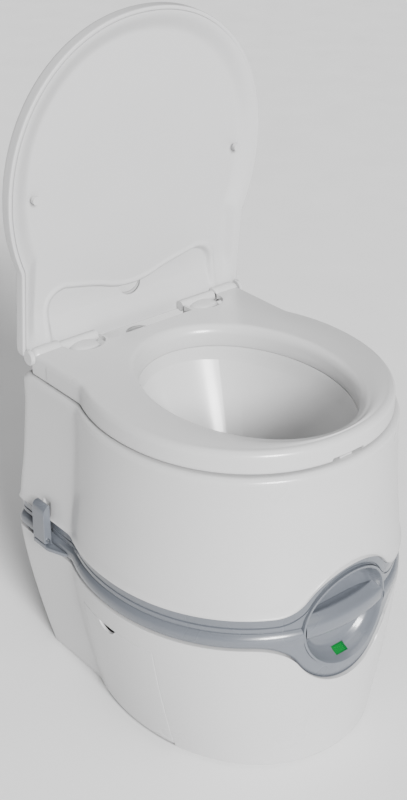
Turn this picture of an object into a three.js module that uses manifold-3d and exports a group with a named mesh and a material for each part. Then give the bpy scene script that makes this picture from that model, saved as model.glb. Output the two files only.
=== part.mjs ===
// Portable cassette toilet: a flush-water tank with bowl, seat and lid standing on a
// waste-holding tank. Millimetres. +Z up, -Y is the front, the floor is z = 0.
import * as THREE from 'three';
import { mergeVertices } from 'three/addons/utils/BufferGeometryUtils.js';
import Module from 'manifold-3d';

const wasm = await Module();
wasm.setup();

// ---- Driving dimensions -------------------------------------------------------------
const HALF_WIDTH = 194;
const HALF_DEPTH = 214;
const REAR_Y = 208;
const NECK_HALF_WIDTH = 176;
const FRONT_POWER = 2.1;
const FRONT_LENGTH = 209.5;
const REAR_LENGTH = 215;
const WIDEST_Y = -5;
const REAR_CORNER = 14;

const GAP = 0.35;
const WALL = 4;
const BAND_DEPTH = 9;
const BAND_BASE_Z = 193;
const DECK_WASTE_Z = 208;
const PARTING_Z = 213;
const GROOVE_Z = 220;
const FLUSH_BASE_Z = 224;
const LIP_Z = 233.2;
const DECK_FLUSH_Z = 406;

const ARCH_Z = 202;
const ARCH_RADIUS = 78;
const DISH_Z = 206;
const DISC_RADIUS = 63;
const DISC_BACK_Y = -181;
const FRONT_POCKET_Y = -172;
const OUTLET_Y = -27.5;
const OUTLET_RADIUS = 33.5;
const BLADE_Z = 210.6;
const BLADE_THICK = 3.4;
const BLADE_HALF_WIDTH = 42;
const ROD_HALF_WIDTH = 8;

const BOWL_Y = -27.5;
const BOWL_RIM_Z = DECK_FLUSH_Z + 2.6;
const NOZZLE_Z = 394;
const SEAT_BASE_Z = 409;
const SEAT_TOP_Z = 436;
const SEAT_INSET = 20;
const SEAT_CUT_Z = [400, 450];
const HINGE_Y = 175;
const HINGE_Z = 431;
const PIN_RADIUS = 4;
const LUG_RADIUS = 12.5;
const BUMP_X = 91;
const BUMP_Y = 157;
const BUMP_HALF = 25;
const LUG_X0 = 118.5;
const LUG_X1 = 157;
const LID_OPEN_DEG = 84.5;
const LID_BASE_Z = 438;
const LID_TOP_Z = 457.5;
const LID_INSET = 12.5;
const LID_SHIFT = -12;
const LID_REAR_Y = 183;
const LINER_Z = 441;

const DOOR_Y0 = -78;
const DOOR_Y1 = 50;
const DOOR_Z0 = 8.5;
const DOOR_Z1 = 161;
const DOOR_THICK = 3.5;
const DOOR_SILL_Z = 4.5;
const DOOR_PIN_X = -149;
const ROLL_WALL_X = -80;
const DOOR_PIN_Z = 14.5;

const LATCH_Y0 = 124;
const LATCH_Y1 = 149;
const LATCH_PIN_X = 182;
const LATCH_PIN_Z = 209;
const LATCH_TOP_Z = 258;

const SPOUT_X = -30;
const SPOUT_Y = 174;
const SPOUT_Z = 138;
const SPOUT_RADIUS = 21;
const SPOUT_FLOOR_Z = 92;
const SPOUT_WALL_Y = 144;

const VENT_X = -110;
const VENT_WALL_Y = 180;
const VENT_Z = 150;
const PUMP_Y = 146;
const PUMP_Z = 352;
const PUMP_POCKET_X = 128;
const FLOAT_PIN_Y = -176.6;
const FLOAT_PIN_Z = 170;
const FLAG_FRONT_Y = -201;
const WINDOW_Y = -197.3;
const WINDOW_Z = 151.6;
const WINDOW_TILT = THREE.MathUtils.degToRad(65.6);
const PANE_HALF_X = 8.8;
const PANE_HALF_LENGTH = 5.8;
const FILL_Y = 172;

// ---- Colours ------------------------------------------------------------------------
const white = { color: 0xe9e9e7, roughness: 0.34, metalness: 0 };
const grey = { color: 0xa3a8b2, roughness: 0.42, metalness: 0 };
const darkGrey = { color: 0x7d828d, roughness: 0.5, metalness: 0 };
const rubber = { color: 0x2a2c2f, roughness: 0.85, metalness: 0 };
const steel = { color: 0xb9bcc0, roughness: 0.3, metalness: 1 };
const green = { color: 0x23a03a, roughness: 0.45, metalness: 0 };
const clear = { color: 0xdfe9e4, roughness: 0.1, metalness: 0, transparent: true, opacity: 0.35 };

// ---- Solid helpers ------------------------------------------------------------------
function solid(geometry) {
  const bare = geometry.clone();
  bare.deleteAttribute('normal');
  bare.deleteAttribute('uv');
  const merged = mergeVertices(bare, 1e-4);
  return new wasm.Manifold(new wasm.Mesh({
    numProp: 3,
    vertProperties: new Float32Array(merged.attributes.position.array),
    triVerts: new Uint32Array(merged.index.array),
  }));
}

function geometryOf(body) {
  const mesh = body.getMesh();
  const geometry = new THREE.BufferGeometry();
  geometry.setAttribute('position', new THREE.BufferAttribute(mesh.vertProperties, 3));
  geometry.setIndex(new THREE.BufferAttribute(mesh.triVerts, 1));
  geometry.computeVertexNormals();
  return geometry;
}

function box([x0, x1], [y0, y1], [z0, z1]) {
  const geometry = new THREE.BoxGeometry(x1 - x0, y1 - y0, z1 - z0);
  geometry.translate((x0 + x1) / 2, (y0 + y1) / 2, (z0 + z1) / 2);
  return solid(geometry);
}

// A round bar between two values of one axis; at holds the other two coordinates.
function bar(axis, radius, [from, to], at, segments = 16) {
  const geometry = new THREE.CylinderGeometry(radius, radius, to - from, segments);
  const middle = (from + to) / 2;
  if (axis === 'x') {
    geometry.rotateZ(Math.PI / 2);
    geometry.translate(middle, at[0], at[1]);
  } else if (axis === 'y') {
    geometry.translate(at[0], middle, at[1]);
  } else {
    geometry.rotateX(Math.PI / 2);
    geometry.translate(at[0], at[1], middle);
  }
  return solid(geometry);
}

function ring(axis, outer, inner, span, at, segments = 24) {
  const hole = bar(axis, inner, [span[0] - 1, span[1] + 1], at, segments);
  return bar(axis, outer, span, at, segments).subtract(hole);
}

// Stacks one outline through levels; each level is [z, xScale, yScale, yShift].
function stack(shape, levels) {
  const last = levels.length - 1;
  const geometry = new THREE.ExtrudeGeometry(shape, {
    depth: 1,
    steps: last,
    bevelEnabled: false,
  });
  const position = geometry.attributes.position;
  for (let i = 0; i < position.count; i += 1) {
    const [z, xScale, yScale, yShift] = levels[Math.round(position.getZ(i) * last)];
    const x = position.getX(i) * xScale;
    const y = position.getY(i) * yScale + yShift;
    position.setXYZ(i, x, y, z);
  }
  return solid(geometry);
}

function extrudeAlong(axis, points, [from, to]) {
  const shape = new THREE.Shape(points.map(([u, v]) => new THREE.Vector2(u, v)));
  return extrudeShape(axis, shape, [from, to]);
}

// A shape in (x, z) pushed along y, in (y, z) pushed along x, or in (x, y) along z.
function extrudeShape(axis, shape, [from, to], curveSegments = 16) {
  const geometry = new THREE.ExtrudeGeometry(shape, {
    depth: to - from,
    bevelEnabled: false,
    curveSegments,
  });
  if (axis === 'y') {
    geometry.rotateX(Math.PI / 2);
    geometry.translate(0, to, 0);
  } else if (axis === 'x') {
    geometry.rotateX(Math.PI / 2);
    geometry.rotateZ(Math.PI / 2);
    geometry.translate(from, 0, 0);
  } else {
    geometry.translate(0, 0, from);
  }
  return solid(geometry);
}

function mirrorX(body) {
  return body.mirror([1, 0, 0]);
}

// ---- Plan outline of both tanks at the waist ----------------------------------------
function planPoints() {
  const points = [];
  const frontSteps = 14;
  for (let i = -frontSteps; i <= frontSteps; i += 1) {
    const angle = (i / frontSteps) * Math.PI / 2;
    const across = Math.abs(Math.sin(angle)) ** (2 / FRONT_POWER) * Math.sign(angle);
    const along = Math.cos(angle) ** (2 / FRONT_POWER);
    points.push(new THREE.Vector2(HALF_WIDTH * across, WIDEST_Y - FRONT_LENGTH * along));
  }
  const right = [];
  const creaseAngle = Math.acos(NECK_HALF_WIDTH / HALF_WIDTH);
  const rearSteps = 3;
  for (let i = 1; i <= rearSteps; i += 1) {
    const angle = creaseAngle * (i / rearSteps);
    right.push([HALF_WIDTH * Math.cos(angle), WIDEST_Y + REAR_LENGTH * Math.sin(angle)]);
  }
  const cornerSteps = 2;
  for (let i = 0; i <= cornerSteps; i += 1) {
    const angle = (i / cornerSteps) * Math.PI / 2;
    right.push([
      NECK_HALF_WIDTH - REAR_CORNER * (1 - Math.cos(angle)),
      REAR_Y - REAR_CORNER * (1 - Math.sin(angle)),
    ]);
  }
  right.forEach(([x, y]) => points.push(new THREE.Vector2(x, y)));
  right.reverse().forEach(([x, y]) => points.push(new THREE.Vector2(-x, y)));
  return points;
}

const planShape = new THREE.Shape(planPoints());
const unitCircle = new THREE.Shape(
  Array.from({ length: 28 }, (_, i) => {
    const angle = (i / 28) * Math.PI * 2;
    return new THREE.Vector2(Math.cos(angle), Math.sin(angle));
  }),
);

// Levels are [z, side inset, end inset]; the end inset defaults to the side inset.
function planBody(levels, shiftY = 0) {
  return stack(planShape, levels.map(([z, side, end = side]) => [
    z,
    1 - side / HALF_WIDTH,
    1 - end / HALF_DEPTH,
    shiftY,
  ]));
}

function ovalBody(levels) {
  return stack(unitCircle, levels.map(([z, halfX, halfY = halfX]) => [z, halfX, halfY, BOWL_Y]));
}

function planRing(levels, innerInset) {
  const first = levels[0][0] - 1;
  const last = levels[levels.length - 1][0] + 1;
  return planBody(levels).subtract(planBody([[first, innerInset], [last, innerInset]]));
}

// ---- Front arch: a circle that flows into the straight bands ------------------------
// side is +1 for the flush tank's arch above edgeZ and -1 for the waste tank's below it.
function archShape(side, edgeZ, radius, fillet, reach) {
  const rise = edgeZ + side * fillet - ARCH_Z;
  const span = radius + fillet;
  const run = Math.sqrt(span * span - rise * rise);
  const tilt = Math.atan2(Math.abs(rise), run);
  const shape = new THREE.Shape();
  const steps = 5;
  shape.moveTo(-run, edgeZ);
  for (let i = 1; i <= steps; i += 1) {
    const angle = (i / steps) * (Math.PI / 2 - tilt);
    shape.lineTo(-run + fillet * Math.sin(angle), edgeZ + side * fillet * (1 - Math.cos(angle)));
  }
  for (let i = 1; i < 3 * steps; i += 1) {
    const angle = Math.PI - tilt - (i / (3 * steps)) * (Math.PI - 2 * tilt);
    shape.lineTo(radius * Math.cos(angle), ARCH_Z + side * radius * Math.sin(angle));
  }
  for (let i = steps; i >= 0; i -= 1) {
    const angle = (i / steps) * (Math.PI / 2 - tilt);
    shape.lineTo(run - fillet * Math.sin(angle), edgeZ + side * fillet * (1 - Math.cos(angle)));
  }
  shape.lineTo(run, edgeZ - side * reach);
  shape.lineTo(-run, edgeZ - side * reach);
  return shape;
}

const FRONT_SPAN = [-260, -60];

function upperArch(grow) {
  const shape = archShape(1, LIP_Z - 0.2 + grow, ARCH_RADIUS + grow, 45, LIP_Z - PARTING_Z - 1.2);
  return extrudeShape('y', shape, FRONT_SPAN);
}

function lowerArch(grow) {
  const shape = archShape(-1, BAND_BASE_Z - grow, ARCH_RADIUS + grow, 60, PARTING_Z - BAND_BASE_Z - 1);
  return extrudeShape('y', shape, FRONT_SPAN);
}

const discHole = (radius, backY) => bar('y', radius, [-260, backY], [0, DISH_Z], 36);

// ---- Waste-holding tank -------------------------------------------------------------
const wasteWallLevels = [
  [0, 40, 20], [4, 37, 17], [60, 25, 11.5], [120, 12.5, 6], [170, 3.4, 2.2], [BAND_BASE_Z - 0.5, 1.2],
  [BAND_BASE_Z - 0.5, BAND_DEPTH + GAP], [DECK_WASTE_Z, BAND_DEPTH + GAP],
];

function wastePocketSolids(grow) {
  const pocket = box(
    [-260, ROLL_WALL_X + grow],
    [DOOR_Y0 + 6 - grow, DOOR_Y1 - 6 + grow],
    [14 - grow, 154 + grow],
  );
  const hingeChannel = box(
    [-260, DOOR_PIN_X + 8.5 + grow],
    [DOOR_Y0 - 1 - grow, DOOR_Y1 + 1 + grow],
    [DOOR_SILL_Z - grow * 0.7, 28 + grow],
  );
  const spoutRecess = box(
    [-62 - grow, 118 + grow],
    [SPOUT_WALL_Y - grow, 260],
    [SPOUT_FLOOR_Z - grow, 180 + grow * 0.5],
  );
  const ventPocket = bar('y', 16 + grow, [VENT_WALL_Y - grow, 260], [VENT_X, VENT_Z]);
  return pocket.add(hingeChannel).add(spoutRecess).add(ventPocket)
    .add(discHole(DISC_RADIUS + 1 + grow, FRONT_POCKET_Y + grow));
}

function doorSkin(inset) {
  const wall = wasteWallLevels.slice(0, 6);
  return planBody(wall.map(([z, side, end = side]) => [z, side + inset, end + inset]));
}

function wasteTank() {
  const inside = planBody([
    [WALL, 43, 24], [60, 29.4, 15.9], [120, 16.9, 10.4], [170, 7.8, 6.6], [182, 7],
    [187, BAND_DEPTH + WALL + 0.4], [DECK_WASTE_Z - WALL, BAND_DEPTH + WALL + 0.4],
  ]);
  const core = (inset) => planBody([[90, inset], [260, inset]]);
  const frontCut = lowerArch(GAP).subtract(core(BAND_DEPTH + GAP));
  const doorSeat = box([-260, -60], [DOOR_Y0 - 0.7, DOOR_Y1 + 0.7], [DOOR_SILL_Z, DOOR_Z1 + 0.7])
    .subtract(doorSkin(DOOR_THICK + 0.6));
  const frontCore = lowerArch(GAP + WALL).subtract(core(BAND_DEPTH + WALL + 0.4));
  const doorBacking = box(
    [-260, -60],
    [DOOR_Y0 - WALL, DOOR_Y1 + WALL],
    [DOOR_SILL_Z - WALL, DOOR_Z1 + WALL],
  ).subtract(doorSkin(DOOR_THICK + 0.6 + WALL));
  const hollow = inside
    .subtract(wastePocketSolids(WALL))
    .subtract(frontCore)
    .subtract(doorBacking);
  let tank = planBody(wasteWallLevels)
    .subtract(hollow)
    .subtract(wastePocketSolids(0))
    .subtract(frontCut)
    .subtract(doorSeat)
    .subtract(bar('z', OUTLET_RADIUS, [195, 215], [0, OUTLET_Y], 28))
    .subtract(bar('z', 17, [80, 100], [SPOUT_X, SPOUT_Y]))
    .subtract(bar('y', 3.6, [VENT_WALL_Y - 16, VENT_WALL_Y + 4], [VENT_X, VENT_Z]))
    .subtract(box([-11, 11], [FLAG_FRONT_Y, -160], [134, FLOAT_PIN_Z + 16]));
  for (const [x, y] of [[-125, -50], [125, -50], [-125, 120], [125, 120]]) {
    tank = tank.add(bar('z', 13, [DECK_WASTE_Z - 2, FLUSH_BASE_Z - GAP], [x, y], 20));
  }
  for (const y of [DOOR_Y0 + 47, DOOR_Y1 - 34]) {
    tank = tank.add(bar('y', 3.6, [y, y + 5], [DOOR_PIN_X, DOOR_PIN_Z], 16))
      .add(box([DOOR_PIN_X + 0.5, DOOR_PIN_X + 9], [y, y + 5], [WALL - 1, DOOR_PIN_Z + 3]));
  }
  return tank.subtract(bar('y', 2.3, [DOOR_Y0 + 44, DOOR_Y1 - 26], [DOOR_PIN_X, DOOR_PIN_Z], 16));
}

function lowerBand() {
  const bead = planRing([
    [BAND_BASE_Z, 3], [BAND_BASE_Z + 4, 1.3], [BAND_BASE_Z + 10, 0.9], [BAND_BASE_Z + 16, 2.2],
    [PARTING_Z - 0.7, 5],
  ], BAND_DEPTH);
  const face = [[114, 7], [150, 5], [BAND_BASE_Z, 1.5], [PARTING_Z - 0.7, 4.8]];
  const flange = planRing(face, BAND_DEPTH).intersect(lowerArch(0));
  return bead.add(flange).subtract(discHole(DISC_RADIUS + GAP, -100));
}

function upperBand() {
  const strip = planRing([
    [PARTING_Z, 5.2], [GROOVE_Z - 0.9, 5.2], [GROOVE_Z - 0.5, 6.8], [GROOVE_Z + 0.5, 6.8],
    [GROOVE_Z + 0.9, 4.8], [LIP_Z - 0.5, 4],
  ], BAND_DEPTH);
  const face = [[GROOVE_Z + 1.5, 4.7], [LIP_Z, 4], [286, 6.5]];
  const flange = planRing(face, BAND_DEPTH).intersect(upperArch(0));
  return strip.add(flange)
    .subtract(discHole(DISC_RADIUS + 2 * GAP, -100))
    .subtract(latchGroove(0)).subtract(mirrorX(latchGroove(0)));
}

// ---- Valve --------------------------------------------------------------------------
// The round hand recess of the dish, turned about the front-to-back axis.
function dishCavity(slack) {
  const profile = [
    [0, -185], [30, -185.4], [42, -187], [49, -190.5], [54, -196.5], [57.5, -204], [60, -212],
  ].map(([radius, y]) => new THREE.Vector2(Math.max(radius - slack, 0), y - slack));
  profile.push(new THREE.Vector2(61 - slack, -245));
  profile.push(new THREE.Vector2(0, -245));
  const geometry = new THREE.LatheGeometry(profile.reverse(), 36);
  geometry.translate(0, 0, DISH_Z);
  return solid(geometry);
}

// A block square to the level window: span runs from in front of the pane to behind it.
function windowBlock(halfX, halfLength, [front, back]) {
  const geometry = new THREE.BoxGeometry(2 * halfX, back - front, 2 * halfLength);
  geometry.translate(0, (front + back) / 2, 0);
  geometry.rotateX(-WINDOW_TILT);
  geometry.translate(0, WINDOW_Y, WINDOW_Z);
  return solid(geometry);
}

function valveDish() {
  const face = planBody([[120, 8], [150, 6], [BAND_BASE_Z, 2.6], [PARTING_Z, 3.6], [276, 7]]);
  const disc = bar('y', DISC_RADIUS, [-240, DISC_BACK_Y], [0, DISH_Z], 36).intersect(face);
  const rodSlot = box(
    [-ROD_HALF_WIDTH - 0.6, ROD_HALF_WIDTH + 0.6],
    [-200, -170],
    [BLADE_Z - 0.5, BLADE_Z + BLADE_THICK + 0.5],
  );
  const flagRoom = windowBlock(10.5, 7.6, [2.2, 20])
    .add(box([-10.5, 10.5], [-190, -170], [130, 154.4]));
  let dish = disc
    .subtract(dishCavity(0))
    .subtract(rodSlot)
    .subtract(flagRoom)
    .subtract(windowBlock(PANE_HALF_X + 0.3, PANE_HALF_LENGTH + 0.3, [-8, 12]));
  for (const x of [-14.4, 11.4]) {
    dish = dish.add(box([x, x + 3], [DISC_BACK_Y - 1, -172.6], [FLOAT_PIN_Z - 6, FLOAT_PIN_Z + 6]));
  }
  return dish.subtract(bar('x', 1.9, [-13.4, 13.4], [FLOAT_PIN_Y, FLOAT_PIN_Z], 12));
}

// How far the waist has curved back from its foremost point at a given x.
function waistSetback(x) {
  const across = Math.min(Math.abs(x) / HALF_WIDTH, 1);
  return FRONT_LENGTH * (1 - (1 - across ** FRONT_POWER) ** (1 / FRONT_POWER));
}

// The handle is a wing across the recess; its front edge keeps to the curve of the waist.
function valveHandle() {
  const section = new THREE.Shape([
    [-211, 213.4], [-199.5, 221], [-190, 219.4], [-180, 215.5], [-180, 203], [-199, 197.4],
    [-210.6, 196.4], [-212, 205],
  ].map(([y, z]) => new THREE.Vector2(y, z)));
  const geometry = new THREE.ExtrudeGeometry(section, { depth: 124, steps: 12, bevelEnabled: false });
  geometry.rotateX(Math.PI / 2);
  geometry.rotateZ(Math.PI / 2);
  geometry.translate(-62, 0, 0);
  const position = geometry.attributes.position;
  for (let i = 0; i < position.count; i += 1) {
    if (position.getY(i) < -195) {
      position.setY(i, position.getY(i) + waistSetback(position.getX(i)));
    }
  }
  const socket = box(
    [-ROD_HALF_WIDTH - GAP, ROD_HALF_WIDTH + GAP],
    [-198, -170],
    [BLADE_Z - GAP, BLADE_Z + BLADE_THICK + GAP],
  );
  return solid(geometry).intersect(dishCavity(0.5)).subtract(socket);
}

function valveBlade() {
  const top = BLADE_Z + BLADE_THICK;
  const plate = box([-BLADE_HALF_WIDTH, BLADE_HALF_WIDTH], [-72, 14], [BLADE_Z, top]);
  const rod = box([-ROD_HALF_WIDTH, ROD_HALF_WIDTH], [-197.5, -71], [BLADE_Z, top]);
  return plate.add(rod);
}

function valveHousing() {
  const channelZ = [BLADE_Z - 0.5, BLADE_Z + BLADE_THICK + 0.5];
  return box([-56, 56], [-80, 30], [DECK_WASTE_Z + GAP, FLUSH_BASE_Z - 2.2])
    .subtract(box([-BLADE_HALF_WIDTH - 0.6, BLADE_HALF_WIDTH + 0.6], [-90, 15], channelZ))
    .subtract(bar('z', OUTLET_RADIUS, [195, 230], [0, OUTLET_Y], 28))
    .subtract(bar('z', 41, [195, channelZ[0]], [0, OUTLET_Y], 28));
}

// ---- Level float --------------------------------------------------------------------
function levelFloat() {
  const hub = bar('x', 3.6, [-8, 8], [FLOAT_PIN_Y, FLOAT_PIN_Z], 16);
  const flag = windowBlock(8.2, 5, [3, 4.6]);
  const stem = box([-4, 4], [-192.5, -178], [148.2, 151.4])
    .add(box([-4, 4], [DISC_BACK_Y + 0.5, FLOAT_PIN_Y], [149, FLOAT_PIN_Z]));
  const arm = extrudeAlong('x', [
    [-176, FLOAT_PIN_Z + 2.5], [-118, FLOAT_PIN_Z - 31],
    [-120, FLOAT_PIN_Z - 35], [-178, FLOAT_PIN_Z - 1.5],
  ], [-3, 3]);
  const ball = new THREE.SphereGeometry(17, 16, 8);
  ball.translate(0, -118, FLOAT_PIN_Z - 39);
  return hub.add(flag).add(stem).add(arm).add(solid(ball))
    .subtract(bar('x', 1.9, [-20, 20], [FLOAT_PIN_Y, FLOAT_PIN_Z], 12));
}

// ---- Door of the roll compartment ---------------------------------------------------
function rollDoor() {
  const panel = box([-260, -60], [DOOR_Y0, DOOR_Y1], [DOOR_Z0, DOOR_Z1])
    .intersect(doorSkin(0).subtract(doorSkin(DOOR_THICK)));
  const bevel = new THREE.BoxGeometry(10, 200, 10);
  bevel.rotateY(Math.PI / 4);
  bevel.translate(DOOR_PIN_X - 13.5, -10, DOOR_Z0 - 2);
  const span = [DOOR_Y0 + 52.6, DOOR_Y1 - 34.6];
  const knuckle = bar('y', 4.2, span, [DOOR_PIN_X, DOOR_PIN_Z], 20);
  const web = box([DOOR_PIN_X - 6.5, DOOR_PIN_X], span, [DOOR_PIN_Z - 3, DOOR_PIN_Z + 4]);
  const notch = bar('x', 18, [-260, -60], [-5, DOOR_Z1 + 9], 32);
  return panel.subtract(solid(bevel)).add(knuckle).add(web)
    .subtract(notch)
    .subtract(bar('y', 2.3, [-100, 100], [DOOR_PIN_X, DOOR_PIN_Z], 16));
}

// ---- Side latches (right-hand one; the left one is its mirror) ----------------------
function latchGroove(grow) {
  return box(
    [169.5 - grow, 180],
    [LATCH_Y0 + 5 - grow, LATCH_Y1 - 5 + grow],
    [PARTING_Z - 2, LATCH_TOP_Z - 1 + grow],
  );
}

function latchBracket() {
  const plate = new THREE.Shape();
  plate.moveTo(175.8, LATCH_Y0 - 30);
  plate.lineTo(178, LATCH_Y0 - 28);
  plate.lineTo(187, LATCH_Y0 - 5);
  plate.lineTo(187, LATCH_Y1 + 5);
  plate.lineTo(175.8, LATCH_Y1 + 5);
  const base = extrudeShape('z', plate, [LATCH_PIN_Z - 11, LATCH_PIN_Z - 6.5]);
  const cheeks = [[LATCH_Y0 - 5, LATCH_Y0 - 0.4], [LATCH_Y1 + 0.4, LATCH_Y1 + 5]]
    .map((span) => box([175.8, 187], span, [LATCH_PIN_Z - 7, LATCH_PIN_Z + 5]));
  return base.add(cheeks[0]).add(cheeks[1])
    .subtract(bar('y', 2.3, [LATCH_Y0 - 3.5, LATCH_Y1 + 3.5], [LATCH_PIN_X, LATCH_PIN_Z], 16));
}

function latch() {
  const section = new THREE.Shape();
  section.moveTo(176.6, LATCH_PIN_Z);
  section.lineTo(176.6, LATCH_TOP_Z - 2);
  section.quadraticCurveTo(180, LATCH_TOP_Z + 1, 183.5, LATCH_TOP_Z - 4);
  section.lineTo(187, LATCH_TOP_Z - 12);
  section.lineTo(187, LATCH_PIN_Z + 8);
  section.quadraticCurveTo(187, LATCH_PIN_Z, 182, LATCH_PIN_Z - 5);
  const body = extrudeShape('y', section, [LATCH_Y0, LATCH_Y1], 6);
  const nub = box([171, 177], [LATCH_Y0 + 7, LATCH_Y1 - 7], [LATCH_TOP_Z - 14, LATCH_TOP_Z - 6]);
  return body.add(nub)
    .subtract(bar('y', 2.4, [100, 200], [LATCH_PIN_X, LATCH_PIN_Z], 16));
}

// ---- Pour spout, vent ---------------------------------------------------------------
function pourSpout() {
  const elbow = new THREE.SphereGeometry(SPOUT_RADIUS + 1.5, 20, 10);
  elbow.translate(SPOUT_X, SPOUT_Y, SPOUT_Z);
  const elbowBore = new THREE.SphereGeometry(SPOUT_RADIUS - 3, 16, 8);
  elbowBore.translate(SPOUT_X, SPOUT_Y, SPOUT_Z);
  const foot = bar('z', SPOUT_RADIUS, [SPOUT_FLOOR_Z + GAP, SPOUT_Z], [SPOUT_X, SPOUT_Y], 20);
  const footBore = bar('z', SPOUT_RADIUS - 4, [80, SPOUT_Z], [SPOUT_X, SPOUT_Y], 20);
  const arm = bar('x', SPOUT_RADIUS, [SPOUT_X, 62], [SPOUT_Y, SPOUT_Z], 20);
  const armBore = bar('x', SPOUT_RADIUS - 4, [SPOUT_X, 70], [SPOUT_Y, SPOUT_Z], 20);
  return solid(elbow).add(foot).add(arm)
    .subtract(footBore).subtract(armBore).subtract(solid(elbowBore));
}

function spoutCap() {
  const ribs = 20;
  const outline = Array.from({ length: 2 * ribs }, (_, i) => {
    const angle = (i / ribs) * Math.PI;
    const radius = i % 2 === 0 ? 26 : 24.8;
    return [SPOUT_Y + radius * Math.cos(angle), SPOUT_Z + radius * Math.sin(angle)];
  });
  return extrudeAlong('x', outline, [48, 72])
    .subtract(bar('x', SPOUT_RADIUS + GAP, [40, 67], [SPOUT_Y, SPOUT_Z], 20));
}

function ventButton() {
  const head = bar('y', 12, [VENT_WALL_Y + 13, VENT_WALL_Y + 24], [VENT_X, VENT_Z], 24);
  return head.add(bar('y', 3, [VENT_WALL_Y - 8, VENT_WALL_Y + 14], [VENT_X, VENT_Z]));
}

// A coil of round wire around one axis, from start to end.
function coil(axis, radius, wire, turns, [start, end], at) {
  class Helix extends THREE.Curve {
    getPoint(t) {
      const angle = t * turns * Math.PI * 2;
      const along = start + wire + (end - start - 2 * wire) * t;
      const u = at[0] + radius * Math.cos(angle);
      const v = at[1] + radius * Math.sin(angle);
      return axis === 'x' ? new THREE.Vector3(along, u, v) : new THREE.Vector3(u, along, v);
    }
  }
  const section = new THREE.Shape(Array.from({ length: 6 }, (_, i) => {
    const angle = (i / 6) * Math.PI * 2;
    return new THREE.Vector2(wire * Math.cos(angle), wire * Math.sin(angle));
  }));
  return solid(new THREE.ExtrudeGeometry(section, {
    steps: turns * 9,
    extrudePath: new Helix(),
    bevelEnabled: false,
  }));
}

// ---- Flush-water tank ---------------------------------------------------------------
function flushTank() {
  const outside = planBody([
    [FLUSH_BASE_Z, BAND_DEPTH + GAP], [LIP_Z, BAND_DEPTH + GAP], [LIP_Z, 1.6], [LIP_Z + 2.3, 0.2],
    [LIP_Z + 6, 0.2], [LIP_Z + 20, 3.6], [300, 9], [DECK_FLUSH_Z - 7, 14.8], [DECK_FLUSH_Z - 2, 16.2],
    [DECK_FLUSH_Z, 19.5],
  ]);
  const inside = planBody([
    [FLUSH_BASE_Z + WALL, BAND_DEPTH + WALL + 0.4], [LIP_Z + 4, BAND_DEPTH + WALL + 0.4],
    [LIP_Z + 11, 6], [LIP_Z + 26, 8.6], [300, 13.2], [DECK_FLUSH_Z - 7, 19], [DECK_FLUSH_Z - WALL, 19.6],
  ]);
  const core = (inset) => planBody([[200, inset], [310, inset]]);
  const frontCut = upperArch(GAP).subtract(core(BAND_DEPTH + GAP));
  const frontKeep = upperArch(GAP + WALL).subtract(core(BAND_DEPTH + WALL + 0.4));
  const grooves = latchGroove(0).add(mirrorX(latchGroove(0)));
  const grooveWalls = latchGroove(3.5).add(mirrorX(latchGroove(3.5)));
  const pumpPocket = (grow) => bar('x', 25 + grow, [PUMP_POCKET_X - grow, 260], [PUMP_Y, PUMP_Z], 24);
  const hollow = inside
    .subtract(frontKeep)
    .subtract(discHole(DISC_RADIUS + 1 + WALL, FRONT_POCKET_Y + WALL))
    .subtract(grooveWalls)
    .subtract(pumpPocket(WALL));
  return outside
    .subtract(hollow)
    .subtract(frontCut)
    .subtract(discHole(DISC_RADIUS + 1, FRONT_POCKET_Y))
    .subtract(grooves)
    .subtract(pumpPocket(0))
    .subtract(ovalBody([[390, 113.2, 146.7], [430, 113.2, 146.7]]))
    .subtract(bar('z', OUTLET_RADIUS + 3.6, [210, 240], [0, OUTLET_Y], 28))
    .subtract(bar('z', 14, [390, 420], [0, FILL_Y], 20))
    .subtract(bar('x', 6, [110, 150], [PUMP_Y, PUMP_Z]));
}

function bowl() {
  const outside = ovalBody([
    [FLUSH_BASE_Z - 1.6, 36.7], [234, 36.7], [246, 46, 48], [278, 67, 82], [328, 92, 119],
    [378, 108.4, 141.4], [DECK_FLUSH_Z + GAP, 112.8, 146.3], [DECK_FLUSH_Z + GAP, 121, 154.5],
    [BOWL_RIM_Z, 121, 154.5],
  ]);
  const inside = ovalBody([
    [FLUSH_BASE_Z - 4, OUTLET_RADIUS], [235, OUTLET_RADIUS], [248, 43, 45], [280, 64, 79],
    [330, 88.8, 115.8], [379, 105, 138], [DECK_FLUSH_Z, 108.8, 142.4], [BOWL_RIM_Z + 1.4, 110, 143.5],
  ]);
  return outside.subtract(inside).subtract(bar('x', 5.4, [-130, -90], [BOWL_Y, NOZZLE_Z], 20));
}

function fillCap() {
  const base = DECK_FLUSH_Z + 2;
  const grip = ring('z', 18, 14.5, [base, base + 9], [0, FILL_Y], 24);
  const plug = bar('z', 13.6, [base - 12, base + 0.5], [0, FILL_Y], 24);
  const plate = bar('z', 16, [base, base + 4], [0, FILL_Y], 24);
  const rib = box([-15, 15], [FILL_Y - 2.5, FILL_Y + 2.5], [base + 3, base + 9]);
  return grip.add(plate).add(plug).add(rib);
}

function pumpBarrel() {
  return bar('x', 17, [62, PUMP_POCKET_X - WALL - GAP], [PUMP_Y, PUMP_Z], 20)
    .subtract(bar('x', 13.2, [66, 140], [PUMP_Y, PUMP_Z], 20))
    .subtract(bar('x', 3, [50, 70], [PUMP_Y, PUMP_Z], 12));
}

function pumpPlunger() {
  const rod = bar('x', 4, [106, 152], [PUMP_Y, PUMP_Z]);
  const piston = bar('x', 12.7, [104, 114], [PUMP_Y, PUMP_Z], 20);
  return rod.add(piston);
}

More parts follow.
